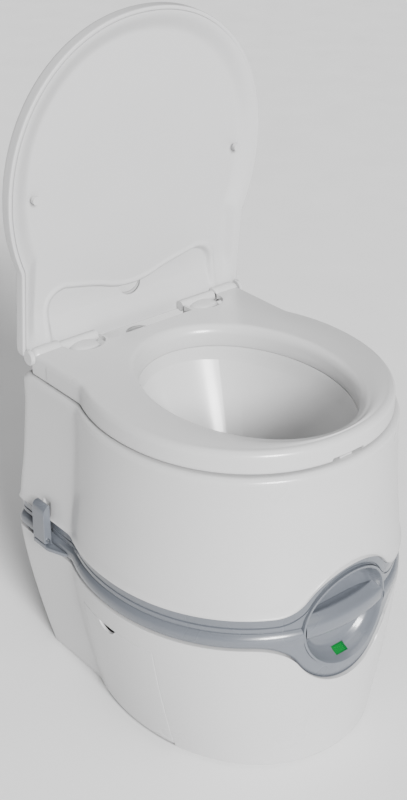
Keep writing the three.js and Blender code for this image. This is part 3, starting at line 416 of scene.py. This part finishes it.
def door_recess():
    """The shallow seat of the door, following the wall at the door's thickness."""
    wide, tall = 30, 40
    ys = np.linspace(DOOR_Y0 - 0.6, DOOR_Y1 + 0.6, wide)
    zs = np.linspace(DOOR_SILL_Z, DOOR_Z1 + 0.6, tall)
    y, z = np.meshgrid(ys, zs)
    deep = np.stack([side_at(y, z, DOOR_THICK + 0.6), y, z], 2).reshape(-1, 3)
    out = np.stack([np.full_like(y, -230.0), y, z], 2).reshape(-1, 3)
    count = len(deep)
    faces = grid_faces(tall, wide, False, False)
    faces = faces + [tuple(count + k for k in f) for f in faces]
    border = (list(range(wide)) + [i * wide + wide - 1 for i in range(1, tall)]
              + [(tall - 1) * wide + j for j in range(wide - 2, -1, -1)]
              + [i * wide for i in range(tall - 2, 0, -1)])
    for k, first in enumerate(border):
        second = border[(k + 1) % len(border)]
        faces.append((first, second, count + second, count + first))
    return make_object("tool", np.concatenate([deep, out]), faces, white, None)


def build_door():
    """The door with its finger notch, thin rounded rim and ribbed inner face."""
    columns, rows = 130, 70
    ys = np.linspace(DOOR_Y0, DOOR_Y1, columns)
    notch = np.sqrt(np.maximum(NOTCH_RADIUS ** 2 - (ys - NOTCH_Y) ** 2, 0))
    top = np.minimum(DOOR_Z1, DOOR_Z1 + NOTCH_RISE - notch)
    points = []
    for t in np.linspace(0, 1, rows):
        z = DOOR_Z0 + (top - DOOR_Z0) * t
        lip = 0.9 * np.exp(-((top - z) / 2.0) ** 2) * np.exp(-(((ys - NOTCH_Y) / 17) ** 4)) + 0.3
        points.append(np.stack([side_at(ys, z) - lip, ys, z], 1))
    points = np.concatenate(points)
    door = make_object("door_panel", points, grid_faces(rows, columns, False, False), white,
                       "door", 40)
    thick = door.modifiers.new("thick", "SOLIDIFY")
    thick.thickness = DOOR_THICK * MM
    thick.offset = -1.0
    round_edges(door, 1.4, 3, 50)
    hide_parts("roll_door")
    span = (DOOR_Y0 + 52.6, DOOR_Y1 - 34.6)
    knuckle = rod("y", 4.2, span, (DOOR_PIN_X, DOOR_PIN_Z), 40)
    knuckle.name = "door_knuckle"
    knuckle.data.materials.append(white)
    smooth(knuckle)
    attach(knuckle, "door")
    web = block((DOOR_PIN_X - 6.5, DOOR_PIN_X), span, (DOOR_PIN_Z - 3, DOOR_PIN_Z + 4), 0.8)
    web.name = "door_web"
    web.data.materials.append(white)
    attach(web, "door")


# ---- Grey bands -------------------------------------------------------------------------
def latch_grooves(top):
    """Cutters for the two upright grooves that the latches lie in."""
    depth = (LATCH_GROOVE_X, 200)
    return [block(sorted((sign * depth[0], sign * depth[1])), (LATCH_Y0 + 5, LATCH_Y1 - 5),
                  (PARTING_Z - 2, top)) for sign, _ in SIDES]


def build_bands():
    face = eased([(118, 6.4), (150, 4.8), (185, 2.8), (193, 2.2), (199, 0.9), (204, 0.8),
                  (208, 2.3), (PARTING_Z - 0.7, 6.0)], 1.2)
    top = PARTING_Z - 0.6
    rows = [at_plan(9, 9, LOWER_EDGE), at_plan(6.6, 6.6, LOWER_EDGE)]
    for t in np.linspace(0.004, 1, 40):
        z = LOWER_EDGE + (top - LOWER_EDGE) * t
        roll = 3.4 * np.exp(-(z - LOWER_EDGE) / 2.0) + 1.2 * np.exp(-(top - z) / 0.6)
        inset = face(z) + roll
        rows.append(at_plan(inset, inset, z))
    rows.append(at_plan(9, 9, top))
    lower = loft("lower_bead", rows, grey, "waste_unit", ring=True)
    carve(lower, [rod("y", DISC_RADIUS + 0.35, (FRONT_FAR, -100), (0, DISH_Z), 160)])
    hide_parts("lower_band")

    strip = eased([(PARTING_Z, 4.9), (GROOVE_Z, 5.2), (LIP_Z, 4.2), (284, 6.0)], 1.0)
    rows = [at_plan(9, 9, PARTING_Z), at_plan(5.9, 5.9, PARTING_Z)]
    for t in np.linspace(0.02, 1, 8):
        z = PARTING_Z + (GROOVE_EDGE - 1.1 - PARTING_Z) * t
        inset = strip(z) + 0.9 * np.exp(-(z - PARTING_Z) / 0.7)
        rows.append(at_plan(inset, inset, z))
    for rise, deep in ((-0.8, 0.7), (-0.45, 1.8), (0.45, 2.0), (0.8, 0.9), (1.2, 0.1), (1.7, -0.2)):
        z = GROOVE_EDGE + rise
        rows.append(at_plan(strip(z) + deep, strip(z) + deep, z))
    for t in np.linspace(0.08, 1, 14):
        z = GROOVE_EDGE + 1.7 + (UPPER_EDGE - 0.6 - GROOVE_EDGE - 1.7) * t
        rows.append(at_plan(strip(z), strip(z), z))
    rows.append(at_plan(9, 9, UPPER_EDGE - 0.6))
    upper = loft("upper_strip", rows, grey, "flush_unit", ring=True)
    carve(upper, [rod("y", DISC_RADIUS + 0.7, (FRONT_FAR, -100), (0, DISH_Z), 160),
                  *latch_grooves(OUTER_FAR)])
    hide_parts("upper_band")


# ---- Front dish, handle, window ---------------------------------------------------------
RECESS_R = np.array([0, 20, 30, 42, 49, 54, 57.5, 60.0])
RECESS_FRACTION = np.array([0, 0.004, 0.015, 0.074, 0.2, 0.426, 0.704, 1.0])
RECESS_BACK_Y = -185.0


def face_y(x, inset=3.2):
    return -(214.5 - setback(x)) * (1 - inset / HALF_DEPTH)


def recess_y(radius, front):
    share = np.interp(radius, RECESS_R, RECESS_FRACTION)
    return RECESS_BACK_Y + (front - RECESS_BACK_Y) * share


def build_dish():
    sides = 200
    angle = np.arange(sides) / sides * 2 * math.pi
    radii = np.concatenate([np.linspace(3, 40, 14), np.linspace(43, 59.4, 16),
                            [59.9, 60.4, 60.9, 61.5, 62.2, 62.7, 63.0]])
    rows = []
    for radius in radii:
        x, z = radius * np.cos(angle), DISH_Z + radius * np.sin(angle)
        front = face_y(60.0 * np.cos(angle)) - 0.4
        y = recess_y(min(radius, 60.0), front)
        if radius > 59.5:
            y = face_y(x) - 0.9 * math.sin(min(1, (radius - 59.5) / 2.4) * math.pi * 0.62)
            y += 1.3 * max(0, 1 - (radius - 59.5) / 0.9)
        rows.append(np.stack([x, y, z], 1))
    x, z = DISC_RADIUS * np.cos(angle), DISH_Z + DISC_RADIUS * np.sin(angle)
    rows.append(np.stack([x, np.full(sides, -181.0), z], 1))
    dish = loft("dish_face", rows, grey, "waste_unit", caps=(True, True), sharp=40)
    window_hole = block((-9.1, 9.1), (-8, 12), (-6.1, 6.1))
    window_hole.matrix_world = Matrix.Translation(Vector((0, WINDOW_Y, WINDOW_Z)) * MM) @ \
        Matrix.Rotation(-WINDOW_TILT, 4, "X")
    slot_cut = block((-8.6, 8.6), (-200, -170), (210.1, 214.5), 0.6)
    room = block((-10.5, 10.5), (-190, -170), (130, 154.4))
    deep_room = block((-10.2, 10.2), (2.6, 20), (-6.3, 6.3))
    deep_room.matrix_world = window_hole.matrix_world.copy()
    carve(dish, [window_hole, slot_cut, room, deep_room], 40)
    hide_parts("valve_dish")


def build_handle():
    """A wing with a rounded front edge, a sloping top and a hollow behind its crest."""
    section = np.array([
        (-185.7, 204), (-193, 200.2), (-200, 197.6), (-206, 196.5), (-209.4, 196.5), (-210.9, 197.3),
        (-211.7, 199.2), (-212.1, 203), (-212.1, 207.5), (-211.8, 210.8), (-211.0, 212.9),
        (-209.6, 214.3), (-207, 215.9), (-204, 217.7), (-201.8, 219.3), (-200.3, 220.5),
        (-199.2, 221.0), (-197.5, 220.9), (-195, 220.2), (-191.5, 219.2), (-188, 218.8),
        (-185.7, 218.8)])
    stations = np.linspace(-1, 1, 61)
    depth_share = (section[:, 0] - RECESS_BACK_Y) / (-211 - RECESS_BACK_Y)
    reach = np.interp(np.clip(depth_share, 0, 1), RECESS_FRACTION, RECESS_R) - 0.7
    rows = []
    for s in stations:
        half = np.sqrt(np.maximum(reach ** 2 - (section[:, 1] - DISH_Z) ** 2, 9))
        x = s * half
        ahead = np.clip((section[:, 0] + 187) / -12, 0, 1)
        y = section[:, 0] + setback(x) * ahead
        rows.append(np.stack([x, y, section[:, 1]], 1))
    handle = loft("handle_wing", rows, grey, "valve", caps=(True, True), sharp=46)
    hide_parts("valve_handle")


# ---- Flush tank -------------------------------------------------------------------------
def build_flush_tank():
    wall = eased([(225, 2.6), (253, 3.9), (300, 9.0), (350, 12.2), (399, 14.8)], 9)
    top = DECK_FLUSH_Z - 7
    rows = [at_plan(BAND_CORE, BAND_CORE, FLUSH_BASE_Z + 1.5),
            at_plan(BAND_CORE, BAND_CORE, np.maximum(UPPER_EDGE - 4, FLUSH_BASE_Z + 3)),
            at_plan(BAND_CORE, BAND_CORE, UPPER_EDGE),
            at_plan(2.6, 2.6, UPPER_EDGE),
            at_plan(1.4, 1.4, UPPER_EDGE + 0.25),
            at_plan(0.6, 0.6, UPPER_EDGE + 0.9)]
    for t in np.linspace(0.01, 1, 60) ** 1.6:
        z = UPPER_EDGE + 1.6 + (top - UPPER_EDGE - 1.6) * t
        rise = z - UPPER_EDGE
        inset = wall(z) - 2.2 * np.exp(-rise / 3.0) - 1.1 * np.exp(-rise / 12.0)
        rows.append(at_plan(inset, inset, z))
    last = wall(top)
    for a in np.linspace(0, math.pi / 2, 9)[1:]:
        inset = last + 7 * (1 - math.cos(a))
        rows.append(at_plan(inset, inset, top + 7 * math.sin(a)))
    edge = rows[-1]
    hole = oval(113.2, 146.7, DECK_FLUSH_Z)
    for t in np.linspace(0, 1, 7)[1:]:
        rows.append(edge * (1 - t) + hole * t)
    rows.append(oval(113.2, 146.7, DECK_FLUSH_Z - 4))
    rows.append(oval(37.1, 37.1, FLUSH_BASE_Z + 6))
    rows.append(oval(37.1, 37.1, FLUSH_BASE_Z))
    rows.append(at_plan(BAND_CORE + 1.5, BAND_CORE + 1.5, FLUSH_BASE_Z))
    tank = loft("flush_shell", rows, white, "flush_unit", ring=True)
    carve(tank, [rod("x", 25, (PUMP_POCKET_X, OUTER_FAR), (PUMP_Y, PUMP_Z)),
                 rod("y", DISC_RADIUS + 1, (FRONT_FAR, -172), (0, DISH_Z)),
                 rod("z", FILL_NECK, (DECK_FLUSH_Z - 16, DECK_FLUSH_Z + 14), (0, FILL_Y)),
                 *latch_grooves(LATCH_TOP_Z - 1)], 30)
    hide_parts("flush_tank")


def build_bowl():
    angle = np.arange(192) / 192 * 2 * math.pi
    inner = [(BOWL_RIM_Z - 0.6, 110.2, 143.7), (404, 109.2, 142.8), (395, 108.0, 141.3),
             (379, 105, 138), (355, 98.5, 129.5), (330, 88.8, 115.8), (305, 77.3, 98.5),
             (280, 64, 79), (262, 53, 60.5), (248, 43, 45), (240, 36.8, 37.2), (234, 33.9, 33.9),
             (226, 33.5, 33.5), (222.4, 33.5, 33.5)]
    z, half_x, half_y = np.array(inner).T
    fine = np.linspace(0, 1, 90)
    knots = np.linspace(0, 1, len(z))

    def through(values):
        curve = np.interp(fine, knots, values)
        for _ in range(10):
            curve[1:-1] = (curve[:-2] + 2 * curve[1:-1] + curve[2:]) / 4
        return curve

    path = np.stack([through(z), through(half_x), through(half_y)], 1)
    rows = [oval(112.8, 146.3, DECK_FLUSH_Z + 0.4, angle), oval(120.4, 153.9, DECK_FLUSH_Z + 0.4, angle),
            oval(121, 154.5, DECK_FLUSH_Z + 1.2, angle), oval(120.4, 153.9, BOWL_RIM_Z - 0.4, angle),
            oval(119, 152.5, BOWL_RIM_Z, angle), oval(111.6, 145.1, BOWL_RIM_Z, angle)]
    rows += [oval(a, b, height, angle) for height, a, b in path]
    rows += [oval(36.7, 36.7, 222.4, angle), oval(36.7, 36.7, 234, angle)]
    rows += [oval(a + 3.4, b + 3.4, height - 1, angle) for height, a, b in path[::-1][14:-6]]
    shell = loft("bowl_shell", rows, white, "flush_unit", ring=True, sharp=40)
    carve(shell, [rod("x", 5.4, (-130, -90), (BOWL_Y, NOZZLE_Z), 48)], 40)
    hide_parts("bowl")


# ---- Seat and lid -----------------------------------------------------------------------
def build_seat():
    angle = PLAN_ANGLE
    rows = [at_plan(SEAT_INSET + 6, SEAT_INSET + 6, SEAT_BASE_Z),
            at_plan(SEAT_INSET + 1.4, SEAT_INSET + 1.4, SEAT_BASE_Z),
            at_plan(SEAT_INSET + 0.4, SEAT_INSET + 0.4, SEAT_BASE_Z + 0.9)]
    for z in np.linspace(SEAT_BASE_Z + 2.2, SEAT_TOP_Z - 9, 8):
        rows.append(at_plan(SEAT_INSET, SEAT_INSET, z))
    for a in np.linspace(0, math.pi / 2, 14)[1:]:
        inset = SEAT_INSET + 9 * (1 - math.cos(a))
        rows.append(at_plan(inset, inset, SEAT_TOP_Z - 9 + 9 * math.sin(a) - 0.5 * a))
    outer = rows[-1]
    crown = SEAT_TOP_Z - 0.5 * math.pi / 2
    inner = oval(121.5, 155.5, crown, angle)
    for t in np.linspace(0, 1, 14)[1:]:
        row = outer * (1 - t) + inner * t
        row[:, 2] = crown + 1.1 * math.sin(t * math.pi)
        rows.append(row)
    for a in np.linspace(0, math.pi / 2, 12)[1:]:
        rows.append(oval(121.5 - 11.5 * math.sin(a), 155.5 - 12 * math.sin(a),
                         crown - 13 * (1 - math.cos(a)), angle))
    for z in (420, 416, 412):
        rows.append(oval(109.6, 143.2, z, angle))
    rows.append(oval(110, 143.6, SEAT_BASE_Z + 0.6, angle))
    rows.append(oval(111, 144.6, SEAT_BASE_Z, angle))
    rows.append(oval(116, 149.5, SEAT_BASE_Z, angle))
    rows.append(oval(118, 151.5, SEAT_TOP_Z - 5, angle))
    rows.append(at_plan(SEAT_INSET + 11, SEAT_INSET + 11, SEAT_TOP_Z - 6))
    seat = loft("seat_ring_shell", rows, white, "seat_ring", ring=True)
    cuts = [block((-220, 220), (HINGE_Y, OUTER_FAR), SEAT_CUT_Z),
            block((-63, 63), (HINGE_Y - 27, OUTER_FAR), SEAT_CUT_Z),
            block((-23, 23), (-215, -188), (SEAT_CUT_Z[0], SEAT_BASE_Z + 4.5), 2.5)]
    for sign, _ in SIDES:
        room = rod("z", 1000, SEAT_CUT_Z, (0, 0), 72)
        room.data.transform(Matrix.Diagonal(((COVER_HALF_X + 0.9) * MM, (COVER_HALF_Y + 0.9) * MM, 1, 1)))
        room.data.transform(Matrix.Translation((sign * COVER_X * MM, COVER_Y * MM, 0)))
        cuts.append(room)
        near, far = sorted((sign * 62.9, sign * LUG_X0))
        cuts.append(block((near, far), (HINGE_Y - 11, OUTER_FAR), SEAT_CUT_Z))
        near, far = sorted((sign * LUG_X1, sign * 220))
        cuts.append(block((near, far), (HINGE_Y - 31, OUTER_FAR), SEAT_CUT_Z))
    carve(seat, cuts, 34)
    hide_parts("seat")
    length = LUG_X1 - LUG_X0
    lug = [(PIN_BORE, 0), (LUG_RADIUS - 1.2, 0), (LUG_RADIUS - 0.4, 0.5), (LUG_RADIUS - 0.1, 1.6)]
    lug += [(LUG_RADIUS, length * t) for t in (0.2, 0.4, 0.6, 0.75)]
    lug += [(LUG_RADIUS * math.cos(a) ** 0.6, length * 0.75 + length * 0.25 * math.sin(a))
            for a in np.linspace(0.2, 1.1, 8)]
    lug.append((PIN_BORE, length * 0.985))
    for sign, side_name in SIDES:
        turned("seat_lug_" + side_name, [(r, sign * (LUG_X0 + along)) for r, along in lug], white,
               "seat_ring", 72, 50)


def build_hinge_cover(side_name, sign):
    """The low oval mound on the tank's deck, with the barrel that holds a hinge pin."""
    angle = np.arange(96) / 96 * 2 * math.pi
    rows = []
    for t in np.linspace(0, math.pi / 2, 18):
        grow = max(math.cos(t) ** 0.5, 0.03)
        rise = DECK_FLUSH_Z + 0.4 + (COVER_TOP_Z - DECK_FLUSH_Z) * math.sin(t) ** 0.8
        rows.append(np.stack([sign * COVER_X + COVER_HALF_X * grow * np.cos(angle),
                              COVER_Y + COVER_HALF_Y * grow * np.sin(angle),
                              np.full(96, rise)], 1))
    cover = loft("hinge_cover_" + side_name, rows, white, "flush_unit",
                 caps=(True, True), sharp=40)
    barrel = rod("x", COVER_BARREL, (sign * COVER_X - 26.2, sign * COVER_X + 26.2), (HINGE_Y, HINGE_Z), 48)
    neck = block((sign * COVER_X - 20, sign * COVER_X + 20), (HINGE_Y - 10, HINGE_Y + 3),
                 (DECK_FLUSH_Z + 0.5, HINGE_Z - 3), 1.5)
    carve(cover, [], 40, (barrel, neck))
    bore = rod("x", PIN_BORE, sorted((sign * (COVER_X - 21), sign * (COVER_X + 60))),
               (HINGE_Y, HINGE_Z), 40)
    carve(cover, [bore], 40)
    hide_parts("hinge_post_" + side_name)
    near, far = sorted((sign * (COVER_X - 20), sign * (LUG_X1 + 3)))
    taper = 0.7
    pin = turned("hinge_rod_" + side_name,
                 [(PIN_RADIUS - taper, near), (PIN_RADIUS, near + taper), (PIN_RADIUS, far - taper),
                  (PIN_RADIUS - taper, far)], white, "flush_unit", 40)
    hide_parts("hinge_pin_" + side_name)


def lid_place(points):
    """Turns points drawn with the lid shut to the open rest pose."""
    a = -math.radians(LID_OPEN_DEG)
    y, z = points[:, 1] - HINGE_Y, points[:, 2] - HINGE_Z
    return np.stack([points[:, 0], HINGE_Y + y * math.cos(a) - z * math.sin(a),
                     HINGE_Z + y * math.sin(a) + z * math.cos(a)], 1)


def lid_loop(inset, z):
    points = at_plan(inset, inset, z, LID_SHIFT)
    points[:, 1] = np.minimum(points[:, 1], LID_REAR_Y)
    return points


def wavy_step(x):
    """y of the step across the lid's inner face, above the hinge."""
    across = np.abs(x)
    low, high = HINGE_Y - 45, HINGE_Y - 67
    mid = low - 7
    wave = np.where(across < 38, low + (mid - low) * (across / 38) ** 2,
                    mid + (high - mid) * np.clip((across - 38) / 60, 0, 1) ** 0.8)
    return wave


def ease(t):
    t = np.clip(t, 0, 1)
    return t * t * (3 - 2 * t)


def lid_depth(x, y):
    """How far the lid's inner face lies behind its rim: a dished panel, and a recess at the hinge."""
    edge_x, edge_y = (lid_loop(LID_INSET + 4.9, 0)[:, :2] - (0, LID_CENTRE_Y)).T
    edge_turn = np.arctan2(edge_y, edge_x)
    order = np.argsort(edge_turn)
    turn = np.arctan2(y - LID_CENTRE_Y, x)
    far = np.interp(turn, edge_turn[order], np.hypot(edge_x, edge_y)[order], period=2 * math.pi)
    inward = far - np.hypot(x, y - LID_CENTRE_Y)
    heel = ease((LID_REAR_Y - y) / 60)
    dish = LID_DISH * ease(inward / 26) * heel
    past = y - wavy_step(x)
    side = LID_RECESS_HALF - np.abs(x)
    mix = np.clip(0.5 + 0.5 * (side - past) / LID_BLEND, 0, 1)
    inside = side * (1 - mix) + past * mix - LID_BLEND * mix * (1 - mix)
    ramp = np.clip((LID_REAR_Y - 1 - y) / 62, 0, 1)
    recess = LID_RECESS * ease(inside / 5.0 + 0.35) * np.clip(ramp * 1.6, 0, 1)
    ridge = LID_RIDGE * np.exp(-((inside + 2.8) / 2.4) ** 2) * np.clip(ramp * 3, 0, 1)
    return dish + recess - ridge


def finger_hole():
    """A half-round hole through the lid just below the step, as a cutter."""
    arc = [(16 * math.cos(a), 15 * math.sin(a) ** 0.8) for a in np.linspace(0, math.pi, 25)]
    loops = [lid_place(np.array([(x, HINGE_Y - 44 + y, z) for x, y in arc])) for z in (430, 470)]
    return loft("tool", loops, white_lid, None, caps=(True, True))


def carve_open(piece, cutter, sharp):
    """Thickens an open skin to a thin plate, then cuts it."""
    plate = piece.modifiers.new("plate", "SOLIDIFY")
    plate.thickness = 0.0012
    plate.offset = -1
    carve(piece, [cutter], sharp)


def build_lid():
    top = LID_TOP_Z
    rows = []
    for inset, z in ((4.6, LID_BASE_Z + 0.5), (3.6, LID_BASE_Z), (1.2, LID_BASE_Z), (0.4, LID_BASE_Z + 0.5),
                     (0.0, LID_BASE_Z + 1.8)):
        rows.append(lid_loop(LID_INSET + inset, z))
    for z in np.linspace(LID_BASE_Z + 3, top - 8, 8):
        rows.append(lid_loop(LID_INSET, z))
    for a in np.linspace(0, math.pi / 2, 12)[1:]:
        rows.append(lid_loop(LID_INSET + 9 * (1 - math.cos(a)), top - 8 + 7 * math.sin(a)))
    rest = rows[-1]
    centre = np.array([0, LID_CENTRE_Y, top])
    for t in np.linspace(0, 0.99, 24)[1:]:
        row = rest * (1 - t) + centre * t
        row[:, 2] = top - 1 + 1.0 * math.sin(t * math.pi / 2)
        rows.append(row)
    middle = rows[-1] - (0, 0, 1.8)
    under = [middle * (1 - t) + lid_loop(LID_INSET + 9, top - 2.8) * t for t in np.linspace(0, 1, 4)]
    under.append(lid_loop(LID_INSET + 5, top - 9))
    rows = [lid_place(r) for r in under + rows]
    shell = loft("lid_cover", rows, white_lid, "lid", caps=(True, True))
    carve(shell, [finger_hole()], 36)
    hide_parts("lid_shell")

    edge = lid_loop(LID_INSET + 4.9, LID_BASE_Z + 0.8)
    inner = []
    for t in np.concatenate([np.linspace(0, 0.14, 20), np.linspace(0.145, 0.99, 130)]):
        row = edge * (1 - t) + np.array([0, LID_CENTRE_Y, 0]) * t
        row[:, 2] = LID_BASE_Z + 0.8 + lid_depth(row[:, 0], row[:, 1])
        inner.append(lid_place(row))
    liner = loft("lid_inner", inner, white_lid, "lid", caps=(False, True), sharp=60)
    liner.data.update()
    carve_open(liner, finger_hole(), 60)
    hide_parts("lid_liner")
    ear = [(PIN_BORE, 0.5), (LUG_RADIUS - 0.8, 0.5), (LUG_RADIUS, 1.2), (LUG_RADIUS, 5.0),
           (LUG_RADIUS - 1, 6.0), (1.0, 6.0)]
    for sign, side_name in SIDES:
        turned("lid_ear_" + side_name, [(r, sign * (LUG_X1 + along)) for r, along in ear], white_lid,
               "lid", 64)


def latch_axis(radius, sign, sides):
    """A round cutter along a latch's pin."""
    return rod("y", radius, (LATCH_Y0 - 9, LATCH_Y1 + 9), (sign * LATCH_PIN_X, LATCH_PIN_Z), sides)


def build_latch_foot(side_name, sign):
    """The solid foot that a latch stands on, with a thin ledge running forward from it."""
    plan = [(LATCH_LEDGE_X, LATCH_Y0 - 30), (LATCH_LEDGE_X + 2.2, LATCH_Y0 - 28),
            (LATCH_OUT_X - 0.6, LATCH_Y0 - 6), (LATCH_OUT_X, LATCH_Y0 - 3),
            (LATCH_OUT_X, LATCH_Y1 - 1), (LATCH_OUT_X - 0.6, LATCH_Y1), (LATCH_LEDGE_X, LATCH_Y1)]
    middle = np.array((LATCH_PIN_X - 1, LATCH_Y0 - 2))
    rows = []
    for z, draw_in in ((LATCH_FOOT_Z, 0.97), (LATCH_FOOT_Z + 0.5, 1.0), (LATCH_LEDGE_Z - 0.5, 1.0),
                       (LATCH_LEDGE_Z, 0.97)):
        loop = middle + (np.array(plan) - middle) * draw_in
        rows.append([(sign * x, y, z) for x, y in loop])
    ledge = loft("latch_block_" + side_name, rows, grey, "waste_unit",
                 caps=(True, True))
    foot = block(sorted((sign * 176, sign * (LATCH_OUT_X + 0.1))), (LATCH_Y0, LATCH_Y1),
                 (LATCH_FOOT_Z, LATCH_LEDGE_Z + 1.1), 0.7)
    carve(ledge, [latch_axis(LATCH_KNEE, sign, 48)], 32, (foot,))
    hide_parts("latch_bracket_" + side_name)


def build_latch(side_name, sign):
    """The straight lever above its foot, with a sloping rounded top."""
    heel_z, soft = LATCH_PIN_Z - 4.2, 0.9
    profile = [(LATCH_IN_X, heel_z), (LATCH_IN_X, LATCH_TOP_Z - 2.5), (LATCH_IN_X + 0.8, LATCH_TOP_Z - 1),
               (LATCH_IN_X + 3, LATCH_TOP_Z - 0.8), (LATCH_IN_X + 5.8, LATCH_TOP_Z - 2.4),
               (LATCH_OUT_X - 1.8, LATCH_TOP_Z - 6), (LATCH_OUT_X - 0.4, LATCH_TOP_Z - 9.5),
               (LATCH_OUT_X, LATCH_TOP_Z - 13), (LATCH_OUT_X, heel_z + 0.8),
               (LATCH_OUT_X - 0.6, heel_z)]
    rows = []
    for y, draw_in in ((LATCH_Y0, soft), (LATCH_Y0 + soft, 0), (LATCH_Y1 - soft, 0), (LATCH_Y1, soft)):
        loop = [(np.clip(x, LATCH_IN_X + draw_in, LATCH_OUT_X - draw_in), z) for x, z in profile]
        rows.append([(sign * x, y, min(z, LATCH_TOP_Z - 1 - draw_in)) for x, z in loop])
    body = "latch_r" if sign > 0 else "latch_l"
    lever = loft("latch_lever_" + side_name, rows, grey, body, caps=(True, True))
    carve(lever, [latch_axis(2.4, sign, 32)])
    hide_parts("latch_" + side_name)


build_waste_tank()
build_door()
build_bands()
build_dish()
build_handle()
build_flush_tank()
build_bowl()
build_seat()
build_lid()

# ---- Small parts rebuilt from their CAD solids -------------------------------------------
for side_sign, side in SIDES:
    build_latch(side, side_sign)
    build_latch_foot(side, side_sign)
    build_hinge_cover(side, side_sign)
reskin("pour_spout", grey, "spout", 0.7, 36)
reskin("spout_cap", dark, "spout_closure", 0.5, 40)
reskin("spout_collar", white, "waste_unit", 0.7, 34)
reskin("pump_knob", grey, "pump", 0.9, 36)
reskin("fill_cap", white, "filler", 0.7, 36)
reskin("vent_button", dark, "vent", 0.7, 36)
reskin("valve_blade", dark, "valve", 0.4)
reskin("valve_housing", dark, "waste_unit", 0.5)

PLAIN = {
    "valve_seal": rubber, "float_pin": steel, "door_pin": steel, "latch_pin_right": steel,
    "latch_pin_left": steel, "spout_cap_seal": rubber, "vent_spring": steel,
    "vent_valve_disc": rubber, "outlet_seal": rubber, "flush_nozzle": white,
    "fill_cap_seal": rubber, "pump_barrel": white, "pump_plunger": white, "pump_spring": steel,
    "seat_pad_right": white, "seat_pad_left": white, "seat_pad_front": white,
    "lid_bumper_right": white_lid, "lid_bumper_left": white_lid,
    "level_float": green, "level_window": pane,
}
for node_name, finish in PLAIN.items():
    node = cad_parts[node_name]
    node.data.materials.clear()
    node.data.materials.append(finish)

# ---- Floor, light and camera --------------------------------------------------------------
floor_material = plastic("floor_pale", (0.82, 0.82, 0.82), (0.81, 0.81, 0.81), 0.6, 0.0, 200)
REACH, FLOOR_Z = 400000, -0.2
floor = make_object("floor", [(-REACH, -REACH, FLOOR_Z), (REACH, -REACH, FLOOR_Z), (REACH, REACH, FLOOR_Z),
                              (-REACH, REACH, FLOOR_Z)], [(0, 1, 2, 3)], floor_material, None)

world = bpy.data.worlds.new("studio")
bpy.context.scene.world = world
world.use_nodes = True
world.node_tree.nodes["Background"].inputs["Color"].default_value = (1, 1, 1, 1)
world.node_tree.nodes["Background"].inputs["Strength"].default_value = 0.15


def sunlight(name, azimuth, elevation, strength, spread):
    """A very wide soft light from one side; azimuth is counted as for the camera."""
    light = bpy.data.lights.new(name, "SUN")
    light.energy = strength
    light.angle = math.radians(spread)
    lamp = bpy.data.objects.new(name, light)
    around, up = math.radians(azimuth), math.radians(elevation)
    way = Vector((math.sin(around) * math.cos(up), -math.cos(around) * math.cos(up), math.sin(up)))
    lamp.location = way * 3
    lamp.rotation_mode = "QUATERNION"
    lamp.rotation_quaternion = way.to_track_quat("Z", "Y")
    bpy.context.scene.collection.objects.link(lamp)


sunlight("key", -18, 26, 8.0, 18)
sunlight("top", 10, 78, 1.3, 50)

AZIMUTH, ELEVATION, DISTANCE, ROLL = -39.6, 28.9, 1.6582, 0.2
TARGET = Vector((0, 0.0489, 0.3725))
azimuth, elevation = math.radians(AZIMUTH), math.radians(ELEVATION)
back = Vector((math.sin(azimuth) * math.cos(elevation), -math.cos(azimuth) * math.cos(elevation),
               math.sin(elevation)))
camera_data = bpy.data.cameras.new("camera")
camera_data.sensor_width = 36.0
camera_data.lens = 62.478
camera = bpy.data.objects.new("camera", camera_data)
bpy.context.scene.collection.objects.link(camera)
camera.location = TARGET + back * DISTANCE
camera.rotation_mode = "QUATERNION"
turn = (-back).to_track_quat("-Z", "Y").to_matrix() @ Matrix.Rotation(math.radians(ROLL), 3, "Z")
camera.rotation_quaternion = turn.to_quaternion()
bpy.context.scene.camera = camera
